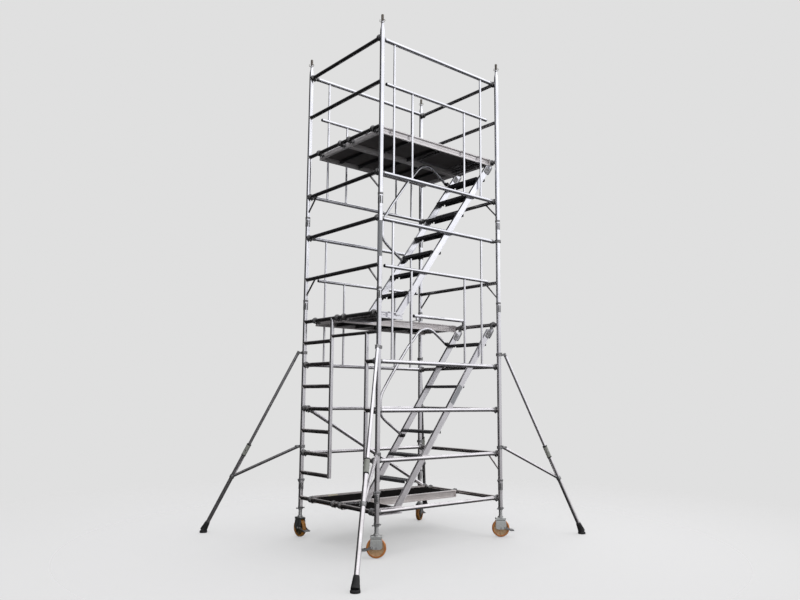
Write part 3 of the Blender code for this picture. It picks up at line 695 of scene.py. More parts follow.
def guard_piece(name, side, below, on_post):
    y = side * RAIL_Y
    top, mid, bottom = level(below), level(below + 0.5), level(below + 1.5)
    p = Piece("look_" + name)
    if on_post:
        hooked_rail(p, y, top, (-1,))
        post_hook(p, y, top, side)
    else:
        hooked_rail(p, y, top)
    hooked_rail(p, y, bottom)

    def place(u):
        return -XE + u if side < 0 else XE - u

    slim = RAIL_R * 0.85
    ends = sorted((place(0.095), place(1.665)))
    long_tube(p, y, mid, slim, ends[0] + 0.004, ends[1] - 0.004)
    for x, out in ((ends[0], -1), (ends[1], 1)):
        p.lathe((x - out * 0.006, y, mid), (out, 0, 0),
                ((slim, 0), (slim, 0.003), (slim - 0.002, 0.0058), (0.006, 0.006)), BLACK, 24)
    rails_at = {z: ((0, y, z), X, r) for z, r in ((top, RAIL_R), (mid, slim), (bottom, RAIL_R))}
    for u in (0.211, 1.559):
        x = place(u)
        for low, high in ((bottom, mid), (mid, top)):
            coped(p, (x, y, low), (x, y, high), 0.0125, ALU_Z, rails_at[low], rails_at[high], 20)
    for u in (0.475, 1.28):
        x = place(u)
        coped(p, (x, y, bottom), (x, y, mid), 0.0125, ALU_Z, rails_at[bottom], rails_at[mid], 20)
    p.done("tower", (name,))


def brace_piece(name, side, below):
    p = Piece("look_" + name)
    hooked_rail(p, side * RAIL_Y, level(below))
    p.done("tower", (name,))


def diagonal_piece():
    y = YP - DIAGONAL_INSET
    a, b = Vector((-XE, y, level(4.0))), Vector((XE, y, level(5.0)))
    d = (b - a).normalized()
    p = Piece("look_diagonal_brace_rear")
    p.rod(a + d * 0.045, b - d * 0.045, RAIL_R, ALU_SLANT, 28)
    for point, out in ((a, -d), (b, d)):
        jaw(p, point, out, 0.028, up=Y.cross(out) * (1 if out.x < 0 else -1))
        p.lathe(point - out * 0.038, -out, SOCKET, CAST, 28)
    p.done("tower", ("diagonal_brace_rear",))


def kick_piece():
    y, z = KICK_Y, level(3.0) + KICK_HEIGHT
    p = Piece("look_kick_rail_middle")
    p.rod((0.066, y, z), (XE - 0.02, y, z), 0.02, ALU_X, 28)
    p.rod((0.06, y, z), (0.072, y, z), 0.0198, BLACK, 24, 0.003)
    jaw(p, (XE, y, level(3.0)), X, 0.03)
    p.box((XE - 0.036, y - 0.011, level(3.0) + 0.022), (XE - 0.02, y + 0.011, z), CAST, 0.004)
    floor = level(3.0) + BEAM_ABOVE + 0.0004
    p.box((0.103, y - 0.011, floor), (0.137, y + 0.011, z - 0.012), ALU_Z, 0.003)
    p.box((0.103, y - 0.011, floor), (0.137, -0.006, floor + 0.006), ALU_Z, 0.002)
    for along in (-0.028, -0.016):
        p.bolt((0.12, along, floor + 0.006), UP, 0.0045, ZINC)
    p.done("tower", ("kick_rail_middle",))


# ------------------------------------------------------------------ decks
BEAM = mm(0, 0, 25, 0, 25, 10.5, 21.5, 12, 7, 12, 5, 14.5, 5, 36.5, 8.5, 38.5, 8.5, 42.5, 5, 44.5,
          5, 65.5, 7, 68, 21.5, 68, 25, 70, 25, 81, 24, 81.5, 0, 81.5)


def deck_hook(p, x, y, z):
    out = X if x > 0 else -X
    jaw(p, (x, y, z), out, 0.031, 0.058, 0.018)
    back = x - out.x * 0.056
    p.box((back - 0.003, y - 0.024, z - 0.03), (back + 0.003, y + 0.024, z + 0.02), CAST, 0.0015)
    for dy in (-0.019, 0.019):
        for dz in (-0.023, 0.013):
            p.rivet((back + out.x * 0.003, y + dy, z + dz), out, 0.0035, ZINC)


def deck_frame(p, y, z, crosses):
    """Side beams, end beams, cross members, hooks and rivets of one deck."""
    top, bottom = z + DECK_ABOVE, z - DECK_BELOW
    inner = DECK_INNER
    for side in (-1, 1):
        start = (-DECK_HALF, y + side * inner, bottom)
        p.extrude(BEAM, start, (DECK_HALF, start[1], bottom), (0, side, 0), UP, DECK_ALU_PAINTED_REFLECTION)
        for end in (-1, 1):
            x = end * (DECK_HALF - 0.006)
            low, high = sorted((y + side * (inner + 0.001), y + side * 0.2992))
            p.box((x - 0.004, low, bottom + 0.001), (x + 0.004, high, z + BEAM_ABOVE - 0.001),
                  DECK_ALU_PAINTED_REFLECTION, 0.0015)
        for x in (-0.78, -0.7, *[c + d for c in crosses for d in (-0.008, 0.008)], 0.7, 0.78):
            for up in (0.052, 0.028):
                p.rivet((x, y + side * (inner + 0.005), bottom + up), (0, side, 0), 0.0036, ZINC)
    for end in (-1, 1):
        low, high = sorted((end * (DECK_HALF - 0.003), end * (DECK_HALF - 0.008)))
        p.box((low, y - inner, bottom + 0.012), (high, y + inner, top - 0.0005), DECK_ALU_PAINTED_REFLECTION, 0.0012)
        for height in (bottom + 0.012, top - 0.0165):
            low, high = sorted((end * (DECK_HALF - 0.0035), end * (DECK_HALF - 0.033)))
            p.box((low, y - inner, height), (high, y + inner, height + 0.004), DECK_ALU_PAINTED_REFLECTION, 0.001)
    # Cross members take the black plastic colour: painted shade for the dark underside of the deck,
    # not their own colour.
    for x in crosses:
        shape = mm(-14, 0, 14, 0, 14, 4, 4, 5, 3, 7, 3, 31, 4, 33, 14, 34, 14, 38, -14, 38, -14, 34,
                   -4, 33, -3, 31, -3, 7, -4, 5, -14, 4)
        p.extrude(shape, (x, y - inner, top - 0.051), (x, y + inner, top - 0.051), X, UP, BLACK)
    for end in (-1, 1):
        for offset in (-0.22, 0.22):
            deck_hook(p, end * XE, y + offset, z)


def board(p, x0, x1, y0, y1, top, hole=None):
    """Film-faced board, optionally with a rectangular hole, and a thin patterned top film."""
    for low, high, mat, e in ((top - 0.012, top - 0.0006, BOARD_UNDER, 0.0),
                              (top - 0.0006, top, BOARD_TOP, 0.0008)):
        rings = [corners(x0 + e, x1 - e, y0 + e, y1 - e, z) for z in (low, high)]
        if hole:
            rings += [corners(*hole, z) for z in (high, low)]
        p.skin(rings, mat, loop=bool(hole))
    columns = [x0 + 0.03 + i * (x1 - x0 - 0.06) / 9 for i in range(10)]
    for x in columns:
        for y in (y0 + 0.012, y1 - 0.012):
            p.rivet((x, y, top), UP, 0.004, ZINC)


def rim(p, x0, x1, y0, y1, z, steps):
    """Thin frame round a rectangle; steps are (outward, height) points of its section."""
    p.skin([corners(x0 - out, x1 + out, y0 - out, y1 + out, z + high) for out, high in steps],
           ALU_X, loop=True)


def deck_piece(name, y, below, hatch=False):
    z = level(below)
    top = z + DECK_ABOVE
    p = Piece("look_" + name)
    crosses = (-0.4, -0.002) if hatch else (-0.56, -0.28, 0.0, 0.28, 0.56)
    deck_frame(p, y, z, crosses)
    x = DECK_HALF - 0.009
    hole = (HATCH_X0, HATCH_X1, y - HATCH_HALF, y + HATCH_HALF) if hatch else None
    board(p, -x, x, y - 0.2745, y + 0.2745, top, hole)
    if hatch:
        rim(p, *hole, top, mm(0, -16, 0, 0, 0, 1.4, 14, 1.4, 14, 0.2, 2.2, 0.2, 2.2, -16))
        p.extrude(mm(0, 0, 20, 0, 20, 3, 3, 3, 3, 35, 0, 35), (0.744, y - 0.27, top - 0.047),
                  (0.744, y + 0.27, top - 0.047), X, UP, ALU_Y_SHADED)
        for hx in HINGES:
            p.box((hx - 0.03, y - 0.263, top + 0.0014), (hx + 0.03, y - 0.2505, top + 0.003), ZINC,
                  0.0006)
            for part in (-0.018, 0.018):
                p.rod((hx + part - 0.008, y - 0.246, top + 0.001),
                      (hx + part + 0.008, y - 0.246, top + 0.001), 0.0042, ZINC, 14, 0.0006)
    if name == "deck_base_rear":
        p.box((-0.63, y + 0.2742, z + 0.0095), (-0.5, y + 0.275, z + 0.0255), LABEL_CREAM, 0.0003)
    p.done("tower", (name,))


def hatch_piece():
    z, y = level(1.0) + DECK_ABOVE, DECK_FRONT_Y
    x0, x1, y0, y1 = HATCH_X0 + 0.004, HATCH_X1 - 0.004, y - 0.246, y + 0.246
    p = Piece("look_hatch_lid")
    board(p, x0 + 0.003, x1 - 0.003, y0 + 0.003, y1 - 0.003, z)
    rim(p, x0, x1, y0, y1, z, mm(0, -12.5, 0, 0.6, -11, 0.6, -11, 0.1, -2.8, -0.1, -2.8, -12.5))
    for x in (x0 + 0.096, x1 - 0.096):
        shape = mm(-19, 18, -19, 16, -9, 15, -8, 0, 8, 0, 9, 15, 19, 16, 19, 18)
        p.extrude(shape, (x, y0 + 0.022, z - 0.03), (x, y1 - 0.022, z - 0.03), X, UP, ALU_Y_SHADED)
        for fy in (y0 + 0.05, y, y1 - 0.05):
            p.rivet((x, fy, z), UP, 0.004, ZINC)
    for hx in HINGES:
        p.box((hx - 0.03, y0 + 0.002, z + 0.0006), (hx + 0.03, y0 + 0.04, z + 0.002), ZINC, 0.0006)
        p.rod((hx - 0.009, y0 + 0.002, z + 0.001), (hx + 0.009, y0 + 0.002, z + 0.001), 0.0042,
              ZINC, 14, 0.0006)
    p.sweep([(0.34, y1 - 0.055, z - 0.002), (0.34, y1 - 0.055, z + 0.012),
             (0.35, y1 - 0.055, z + 0.02), (0.41, y1 - 0.055, z + 0.02),
             (0.42, y1 - 0.055, z + 0.012), (0.42, y1 - 0.055, z - 0.002)], 0.004, ZINC, 12)
    p.done("hatch", ("hatch_lid",))


# ------------------------------------------------------------------ stairs
STRINGER = mm(-14.8, -34.5, -14.8, -30, -13.4, -29, -13.4, 29, -14.8, 30, -14.8, 34.5, 14.8, 34.5,
              14.8, 30, 13.4, 29, 13.4, -29, 14.8, -30, 14.8, -34.5)
NEAR_Y, FAR_Y = -0.6155, -0.083
STAIR_START, STAIR_SLOPE = -0.582, 0.73
UPHILL = Vector((STAIR_SLOPE, 0, 1)).normalized()
ACROSS = Vector((-UPHILL.z, 0, UPHILL.x))


def stringer(p, y, base):
    """Rectangular hollow beam up the slope with level ends."""
    origin = Vector((STAIR_START, y, base))
    rings = []
    for height in (0.0, FLIGHT - 0.0585):
        ring = []
        for s, v in STRINGER:
            point = origin + Y * s + ACROSS * v
            ring.append(point + UPHILL * ((base + height - point.z) / UPHILL.z))
        rings.append(ring)
    p.skin(rings, ALU_SLANT)


def tread(p, x, z):
    """Extruded step: grooved top, rounded nose, back lip and stiffening ribs below."""
    half, thick = 0.075, 0.03
    shape = [(-half, -thick), (-half + 0.003, -thick), (-half + 0.003, -0.006), (-0.026, -0.006),
             (-0.026, -0.016), (-0.023, -0.016), (-0.023, -0.006), (0.023, -0.006), (0.023, -0.016),
             (0.026, -0.016), (0.026, -0.006), (half - 0.003, -0.006), (half - 0.003, -thick),
             (half, -thick), (half, -0.003), (half - 0.002, 0)]
    for i in range(14):
        g = half - 0.01 - i * 0.01
        shape += [(g, 0), (g - 0.001, -0.0016), (g - 0.004, -0.0016), (g - 0.005, 0)]
    shape += [(-half + 0.002, 0), (-half, -0.003)]
    low, high = NEAR_Y + 0.0153, FAR_Y - 0.0153
    p.extrude(shape, (x, low, z), (x, high, z), X, UP, TREAD)
    p.box((x - half + 0.006, low + 0.01, z - 0.0014), (x - half + 0.018, high - 0.01, z + 0.0006),
          BLACK, 0.0004)
    for y, out in ((low, 1), (high, -1)):
        edges = sorted((y, y + out * 0.004))
        p.box((x - 0.05, edges[0], z - 0.028), (x + 0.05, edges[1], z - 0.0065), TREAD, 0.001)
    for y, out in ((NEAR_Y - 0.0134, -1), (FAR_Y + 0.0134, 1)):
        for dx in (-0.018, 0.01):
            p.rivet((x + dx, y, z - 0.017), (0, out, 0), 0.0042, ZINC)


def stair_piece(name, base):
    p = Piece("look_" + name)
    for y, out in ((NEAR_Y, -1), (FAR_Y, 1)):
        stringer(p, y, base)
        top = base + FLIGHT
        head = ((0.8, -0.0588), (XE - 0.05, -0.0588), (XE - 0.05, -0.012), (XE - 0.031, -0.012),
                (XE - 0.031, -0.024), (XE - 0.01, -0.04), (XE - 0.002, -0.075), (0.856, -0.139),
                (0.83, -0.168), (0.79, -0.12))
        p.slab(head, (0, y, top), X, UP, 0.018, CAST)
        jaw(p, (XE, y, top), X, 0.031)
        plate = rounded(mm(-50, -30, 40, -30, 40, 30, -50, 30), 0.014, 5)
        seat = Vector((STAIR_START + STAIR_SLOPE * 1.882, y, base + 1.882))
        for face in (-1, 1):
            p.slab(plate, seat + Y * face * 0.0155, UPHILL, ACROSS, 0.0024, CAST, 0.001)
            for reach in (-0.03, 0.018):
                p.bolt(seat + UPHILL * reach + Y * face * 0.0166, (0, face, 0), 0.006, ZINC)
            p.bolt((0.872, y + face * 0.009, top - 0.062), (0, face, 0), 0.005, ZINC)
    for step in range(1, 8):
        rise = RISE * step + 0.025
        tread(p, STAIR_START + STAIR_SLOPE * rise, base + rise)
    start, end = -XE + 0.055, -XE + 0.39
    top, bottom = base + DECK_ABOVE, base - 0.045
    board(p, start + 0.004, end - 0.005, NEAR_Y + 0.0115, FAR_Y - 0.0115, top)
    for y, face in ((NEAR_Y, -1), (FAR_Y, 1)):
        shape = [(s - 0.0125, v * 0.875) for s, v in BEAM]
        p.extrude(shape, (start, y, bottom), (end, y, bottom), (0, face, 0), UP, ALU_X)
        jaw(p, (-XE, y, base), -X, 0.031, 0.058, 0.018)
        for dx in (0.03, 0.08, 0.25):
            p.bolt((start + dx, y + face * -0.0068, base - 0.008), (0, face, 0), 0.0045, ZINC)
    for x in (start + 0.003, end - 0.01):
        p.box((x, NEAR_Y + 0.012, bottom + 0.01), (x + 0.005, FAR_Y - 0.012, top - 0.0125), ALU_Y_SHADED,
              0.001)
    if name == "stair_lower":
        mid = Vector((STAIR_START + STAIR_SLOPE * 1.17, NEAR_Y - 0.014, 1.6))
        shape = rounded(mm(-122, -28, 122, -28, 122, 28, -122, 28), 0.003)
        p.slab(shape, mid, UPHILL, ACROSS, 0.001, LABEL_GREY, 0.0002)
    p.done("tower", (name,))


HANDRAIL = mm(830, 695, 768, 737, 560, 880, 510, 928, 494, 975, 496, 1120, 518, 1186, 625, 1350,
              885, 1705, 982, 1812, 1036, 1880, 1100, 1925, 1195, 1948, 1270, 1930, 1360, 1872,
              1515, 1765)


def smooth_path(points, steps=6, corner=0.045):
    """Path whose corners are replaced with short arcs."""
    pts = [Vector(p) for p in points]
    out = [pts[0]]
    for before, here, after in zip(pts, pts[1:], pts[2:]):
        a, b = before - here, after - here
        cut = min(corner, a.length * 0.48, b.length * 0.48)
        pa, pb = here + a.normalized() * cut, here + b.normalized() * cut
        for s in range(steps + 1):
            t = s / steps
            out.append(pa * (1 - t) ** 2 + here * 2 * t * (1 - t) + pb * t * t)
    out.append(pts[-1])
    return out


def handrail_piece(name, base):
    """Bent rail beside the far stringer, with a clamp and a dark hand screw at each end."""
    y = FAR_Y - 0.015 - 0.016 - 0.0003
    p = Piece("look_" + name)
    path = smooth_path([(x - XE, y, base + h) for x, h in HANDRAIL])
    p.sweep(path, 0.0158, ALU_SLANT, 20)
    for index, nudge in ((0, 1), (-1, -1)):
        end = path[index]
        inward = (path[index + nudge] - end).normalized()
        p.lathe(end + inward * 0.05, -inward, mm(15.8, 0, 17.6, 1, 17.6, 35, 16, 49, 10, 52), BLACK,
                24)
        centre = end + inward * 0.024
        p.rod(centre - Y * 0.01, centre - Y * 0.03, 0.0045, ZINC, 14, 0.0006)
        p.lathe(centre - Y * 0.024, -Y, mm(8, 0, 18.5, 2, 20, 6, 20, 13, 17, 18, 8, 20), BLACK, 10)
    p.done("tower", (name,))


# ------------------------------------------------------------------ castors
# tag, post x and y, foot offset, castor heading in degrees, side of the pedal
CORNERS = (("a_front", -XE, -YP, (-0.9, -0.88), -39.8, -1),
           ("a_rear", -XE, YP, (-0.75, 0.88), 92.0, -1),
           ("b_front", XE, -YP, (0.9, -0.45), -39.8, 1), ("b_rear", XE, YP, (0.88, 0.88), 31.0, 1))
WHEEL_Z = 0.1


def leg_piece(tag, x, y):
    """Castor stem with a coarse round thread."""
    p = Piece("look_castor_leg_" + tag)
    pitch, sides, step = 0.008, 20, 0.002
    low, high = 0.236, 0.655
    rings = []
    for row in range(int((high - low) / step) + 1):
        z = low + row * step
        ring = []
        for i in range(sides):
            t = math.tau * i / sides
            wave = math.cos(math.tau * (z / pitch) - t)
            r = 0.0199 + 0.0006 * wave
            ring.append((x + r * math.cos(t), y + r * math.sin(t), z))
        rings.append(ring)
    p.skin(rings, ZINC)
    p.lathe((x, y, 0.2223), UP, mm(20, 0, 29.2, 0.4, 30, 1.5, 30, 8, 28.5, 9.5, 22.5, 10, 20.5,
                                   12.5, 20.5, 20, 18, 20.5), ZINC, 32)
    p.done("castor_leg_" + tag, ("castor_leg_" + tag,))


def nut_piece(tag, x, y):
    """Cast adjusting nut: threaded collar with two spinner lugs and grip ribs."""
    p = Piece("look_jack_nut_" + tag)
    low, high = 0.302, 0.3297
    profile = ((0.022, 0), (0.0265, 0), (0.0282, 0.003), (0.0282, 0.005), (0.0255, 0.008),
               (0.0255, 0.018), (0.0285, 0.021), (0.0297, 0.0235), (0.0297, 0.0265),
               (0.0285, high - low), (0.022, high - low))
    p.lathe((x, y, low), UP, profile, CAST, 36, True)
    for i in range(10):
        t = math.tau * (i + 0.5) / 10
        turn = Matrix.Translation((x, y, 0)) @ Matrix.Rotation(t, 4, "Z")
        p.box((0.0245, -0.002, low + 0.006), (0.028, 0.002, low + 0.02), CAST, 0.001, turn)
    for side in (-1, 1):
        lug = mm(24, -7, 40, -5.5, 50, -7.5, 54.5, -5, 54.5, 5, 50, 7.5, 40, 5.5, 24, 7)
        p.slab(lug, (x, y, low + 0.0125), (side, 0, 0), (0, 0, 1), 0.011, CAST, 0.002)
    p.done("jack_nut_" + tag, ("jack_nut_" + tag,))


def castor_turn(x, y, heading):
    return Matrix.Translation((x, y, 0)) @ Matrix.Rotation(math.radians(heading), 4, "Z")


def fork_piece(tag, x, y, turn):
    """Pressed fork with raceway head, ribbed crown, cheeks and axle bolt."""
    p = Piece("look_castor_fork_" + tag)
    spin = turn.to_3x3()
    fwd, side = spin @ X, spin @ Y
    # Rear castor plates use the dark casting instead of bright zinc: the same plates as at the
    # front, darkened for dirt and painted shade.
    plate = CAST_DARK if tag.endswith("rear") else STEEL
    p.lathe((x, y, 0.2045), UP, mm(30, 0, 34.5, 0.5, 36, 2.5, 36, 6.5, 34.5, 8, 34.5, 9, 35.8, 10.5,
                                   35.8, 14, 33.5, 16.5, 20, 17.2), ZINC, 40)
    crown = rounded(mm(-60, -33, 60, -33, 60, 33, -60, 33), 0.012, 4)
    p.slab(crown, (x, y, 0.21), fwd, side, 0.011, plate, 0.0025)
    for sign in (-1, 1):
        centre = Vector((x, y, WHEEL_Z)) + side * sign * 0.03
        skirt = rounded(mm(-59, 91, 59, 91, 59, 108, -59, 108), 0.004)
        p.slab(skirt, centre, fwd, UP, 0.0055, plate, 0.001)
        neck = mm(-50, 80, 50, 80, 50, 95, -50, 95)
        p.slab(neck, centre - side * sign * 0.0008, fwd, UP, 0.0035, CAST_DARK, 0.0006)
        cheek = rounded(mm(-59, 84, -59, -1, -35, -14.5, 35, -14.5, 59, -1, 59, 84), 0.006)
        p.slab(cheek, centre, fwd, UP, 0.0052, plate, 0.001)
        rim = rounded(mm(-47, 74, -47, 10, 47, 10, 47, 74), 0.01)
        p.slab(rim, centre + side * sign * 0.0027, fwd, UP, 0.0014, plate, 0.0006)
        p.bolt(centre + side * sign * 0.0026, side * sign, 0.0078, ZINC, 0.006)
    middle = Vector((x, y, WHEEL_Z))
    p.rod(middle - side * 0.031, middle + side * 0.031, 0.0085, ZINC, 20)
    p.done("castor_fork_" + tag, ("castor_fork_" + tag,))


def wheel_piece(tag, x, y, turn):
    """Moulded amber wheel: crowned tyre, dished web with spokes, hub with a bearing."""
    p = Piece("look_castor_wheel_" + tag)
    side = turn.to_3x3() @ Y
    # Rear wheels take the darker copies: dirt plus painted shade, since they are the same wheels as
    # at the front.
    worn = tag.endswith("rear")
    amber, tan = (AMBER_DIRT_AND_SHADE, TAN_DIRT_AND_SHADE) if worn else (AMBER, TAN)
    centre = Vector((x, y, WHEEL_Z))
    tyre = []
    for i in range(9):
        t = math.pi * i / 8
        tyre.append((0.0915 + 0.008 * math.sin(t), -0.022 * math.cos(t)))
    profile = [(0.08, -0.0195), (0.083, -0.0222)] + tyre + [(0.083, 0.0222), (0.08, 0.0195)]
    p.lathe(centre, side, profile + [(0.079, 0.006), (0.079, -0.006)], amber, 56, True)
    profile = mm(79.2, -8.5, 79.2, 8.5, 77.5, 8, 74, 5.8, 34, 7.5, 30, 10.5, 28.5, 21.5, 26.5, 22.2,
                 18, 22.2, 18, -22.2, 26.5, -22.2, 28.5, -21.5, 30, -10.5, 34, -7.5, 74, -5.8, 77.5,
                 -8)
    p.lathe(centre, side, profile, tan, 56, True)
    p.lathe(centre, side, mm(11.4, -21.5, 18.2, -21.8, 18.2, 21.8, 11.4, 21.5), CAST_DARK, 28, True)
    u, v = frame_of(side)
    for i in range(8):
        t = math.tau * i / 8
        out, across = u * math.cos(t) + v * math.sin(t), v * math.cos(t) - u * math.sin(t)
        for sign in (-1, 1):
            rib = mm(28, -4.5, 79, -3, 79, 3, 28, 4.5)
            p.slab(rib, centre + side * sign * 0.0105, out, across, 0.013, tan, 0.0014)
    p.done("castor_wheel_" + tag, ("castor_wheel_" + tag,))


def pedal_piece(tag, x, y, turn, side):
    """Brake yoke: two arms on the cheeks and a ribbed foot bar beyond the tyre."""
    p = Piece("look_brake_pedal_" + tag)
    spin = turn.to_3x3()
    fwd, across = spin @ X * side, spin @ Y
    origin = turn @ Vector((0, 0, 0))
    arm = rounded(mm(33, 94, 57, 90.5, 108, 70.5, 149, 70.5, 149, 83.5, 110, 90, 57, 116.5, 33,
                     116.5), 0.006)
    for sign in (-1, 1):
        p.slab(arm, origin + across * sign * 0.036, fwd, UP, 0.0048, CAST, 0.0012)
        pivot = origin + fwd * 0.045 + UP * 0.105 + across * sign * 0.0384
        p.bolt(pivot, across * sign, 0.006, ZINC, 0.005)
    bar = rounded(mm(108, 70.8, 149, 70.8, 149, 83, 130, 85.6, 108, 85.8), 0.003)
    p.slab(bar, origin, fwd, UP, 0.068, CAST, 0.0012)
    for i in range(4):
        a = origin + fwd * (0.112 + i * 0.009) + UP * (0.0862 - i * 0.0005)
        p.rod(a - across * 0.03, a + across * 0.03, 0.0016, CAST_DARK, 8, 0.0004)
    p.done("brake_pedal_" + tag, ("brake_pedal_" + tag,))


# ------------------------------------------------------------------ stabilisers
def coupler(p, x, y, z, out):
    """Half coupler round a post: two shells, flanges, swing bolt and wing nut."""
    c = Vector((x, y, z))
    side = out.cross(UP)
    for sign in (1, -1):
        ring = [(r * math.cos(t), r * math.sin(t)) for r,
                t in [(0.0345, math.radians(5 + 170 * i / 16))
                      for i in range(17)] + [(0.0274, math.radians(175 - 170 * i / 16))
                for i in range(17)]]
        p.slab(ring, c, side * sign, out * sign, 0.034, CAST, 0.0015)
    for sign in (-1, 1):
        a = c + side * sign * 0.0335
        turn = Matrix.Translation(a) @ Matrix((side * sign, out * sign, UP)).transposed().to_4x4()
        p.box((-0.004, -0.008, -0.015), (0.003, 0.008, 0.015), CAST, 0.002, turn)
    knob = c + side * 0.0325 - out * 0.004
    p.rod(knob - UP * 0.02, knob + UP * 0.0205, 0.0045, ZINC, 14)
    turn = Matrix.Translation(knob + UP * 0.019) @ Matrix((side, out, UP)).transposed().to_4x4()
    p.box((-0.004, -0.004, -0.003), (0.004, 0.034, 0.004), CAST_DARK, 0.002, turn)
    for sign in (-1, 1):
        lug = rounded(mm(30, -12, 82, -12, 82, 12, 30, 12), 0.008)
        p.slab(lug, c + side * sign * 0.0115, out, UP, 0.0045, CAST, 0.001)


def stabiliser_pieces(tag, x, y, foot):
    ground = Vector((x + foot[0], y + foot[1], 0.03))
    out = Vector((foot[0], foot[1], 0)).normalized()
    head = Vector((x, y, UPPER_CLAMP_Z)) + out * 0.075
    along = (ground - head).normalized()
    side = out.cross(UP)

    p = Piece("look_stabiliser_upper_" + tag)
    coupler(p, x, y, UPPER_CLAMP_Z, out)
    p.pipe(head - along * 0.02, head.lerp(ground, INNER_TUBE_END), 0.0172, 0.015, ALU_SLANT, 28)
    p.lathe(head - along * 0.021, along, mm(8, -1, 16, 0, 17.6, 2, 17.6, 40, 17.3, 43), CAST, 28)
    for sign in (1, -1):
        p.bolt(head + side * sign * 0.015, side * sign, 0.0062, ZINC)
    for i in range(5):
        hole = head.lerp(ground, 0.5 - 0.022 * i) + side * 0.016
        p.lathe(hole, side, mm(5, 0, 5, 1.4, 3.6, 1.4, 3.6, 0), CAST_DARK, 14, True)
    p.done("stabiliser_" + tag, ("stabiliser_upper_" + tag,))

    p = Piece("look_stabiliser_lower_" + tag)
    sleeve = head.lerp(ground, SLEEVE_START)
    foot_top = ground - along * 0.055
    p.pipe(sleeve, foot_top, 0.0222, 0.0186, ALU_SLANT, 28)
    for begin in (-0.005, 0.132):
        p.lathe(sleeve + along * begin, along, mm(18.6, 0, 25.5, 0, 26.4, 1, 26.4, 10.5, 25.5, 11.5,
                18.6, 11.5), RUBBER, 32, True)
    p.lathe(sleeve + along * 0.006, along, mm(22.4, 0, 25.6, 1, 25.6, 125, 22.4, 126), SLEEVE, 32,
            True)
    knob = sleeve + along * 0.06
    p.bolt(knob + side * 0.0252, side, 0.007, ZINC, 0.0065)
    p.sweep([knob - side * 0.025, knob - side * 0.034 + along * 0.004,
             knob - side * 0.034 + along * 0.024, knob - side * 0.026 + along * 0.028], 0.0022,
            ZINC, 8)
    p.lathe((ground.x, ground.y, 0), UP, mm(30, 0.4, 41.5, 0.4, 43.2, 3, 43.5, 12, 43, 20, 36, 26),
            RUBBER, 44)
    p.lathe(ground + along * 0.004, -along, mm(33, 0, 40, 4, 38.5, 16, 36.2, 30, 36.8, 32, 33, 52,
            33.6, 54, 30, 76, 30.6, 78, 27.2, 100, 26.2, 108, 22.4, 110), RUBBER, 36)
    p.done("stabiliser_foot_" + tag, ("stabiliser_lower_" + tag,))

    p = Piece("look_stabiliser_arm_" + tag)
    joint = head.lerp(ground, ARM_MEETS)
    pivot = Vector((x, y, ARM_CLAMP_Z))
    coupler(p, x, y, ARM_CLAMP_Z, out)
    reach = (joint - pivot).normalized()
    begin, finish = pivot + out * 0.04, joint - reach * 0.026
    line = (finish - begin).normalized()
    p.rod(begin, finish, 0.0168, ALU_SLANT, 28)
    p.lathe(begin - line * 0.004, line, mm(10, 0, 16.5, 2, 17.5, 6, 17.5, 38, 16.8, 41), CAST, 24)
    p.lathe(finish - line * 0.036, line, mm(16.8, 0, 17.5, 3, 17.5, 34, 15, 38), CAST, 24)
    p.lathe(joint - along * 0.019, along, mm(23.4, 0, 26.5, 0, 27.8, 3, 27.8, 35, 26.5, 38, 23.4,
            38), CAST, 32, True)
    for sign in (-1, 1):
        p.bolt(joint + along * sign * 0.01 + side * 0.027, side, 0.005, ZINC)
    p.done("stabiliser_" + tag, ("stabiliser_arm_" + tag,))


# ------------------------------------------------------------------ everything in place
for end_tag, end_x in (("a", -XE), ("b", XE)):
    frame_piece("base_frame_end_" + end_tag, end_x, BASE_FOOT, BASE_TOP, (5.0,), True)
ladder_piece()
frame_piece("lower_frame_end_b", XE, BASE_TOP, LOWER_TOP, (3.0, 3.5, 4.0, 4.5))
frame_piece("middle_frame_end_a", -XE, LOWER_TOP, MIDDLE_TOP, (2.0, 2.5))
frame_piece("middle_frame_end_b", XE, LOWER_TOP, MIDDLE_TOP, (2.5,))
for end_tag, end_x in (("a", -XE), ("b", XE)):
    frame_piece("top_frame_end_" + end_tag, end_x, MIDDLE_TOP, POST_TOP, (0.0, 0.5, 1.0, 1.5))
for floor_tag, guard_level, on_post in (("top", 0.0, False), ("middle", 2.0, True)):
    guard_piece(f"guard_rail_{floor_tag}_front", -1, guard_level, on_post)
    guard_piece(f"guard_rail_{floor_tag}_rear", 1, guard_level, on_post)
for brace_name, brace_side, brace_level in (("brace_front_upper", -1, 4.0),
        ("brace_front_middle", -1, 4.5), ("brace_front_base", -1, 5.0),
        ("brace_rear_upper", 1, 4.0), ("brace_rear_middle", 1, 4.5)):
    brace_piece(brace_name, brace_side, brace_level)
diagonal_piece()
kick_piece()
deck_piece("deck_top_rear", DECK_REAR_Y, 1.0)
deck_piece("deck_top_front", DECK_FRONT_Y, 1.0, True)
hatch_piece()
deck_piece("deck_middle_rear", DECK_REAR_Y, 3.0)
deck_piece("deck_base_rear", DECK_REAR_Y, 5.0)
for stair_tag, stair_level in (("lower", 5.0), ("upper", 3.0)):
    stair_piece("stair_" + stair_tag, level(stair_level))
    handrail_piece("handrail_" + stair_tag, level(stair_level))
for corner_tag, cx, cy, foot_offset, wheel_heading, pedal_side in CORNERS:
    wheel_turn = castor_turn(cx, cy, wheel_heading)
    leg_piece(corner_tag, cx, cy)
    nut_piece(corner_tag, cx, cy)
    fork_piece(corner_tag, cx, cy, wheel_turn)
    wheel_piece(corner_tag, cx, cy, wheel_turn)
    pedal_piece(corner_tag, cx, cy, wheel_turn, pedal_side)
    stabiliser_pieces(corner_tag, cx, cy, foot_offset)


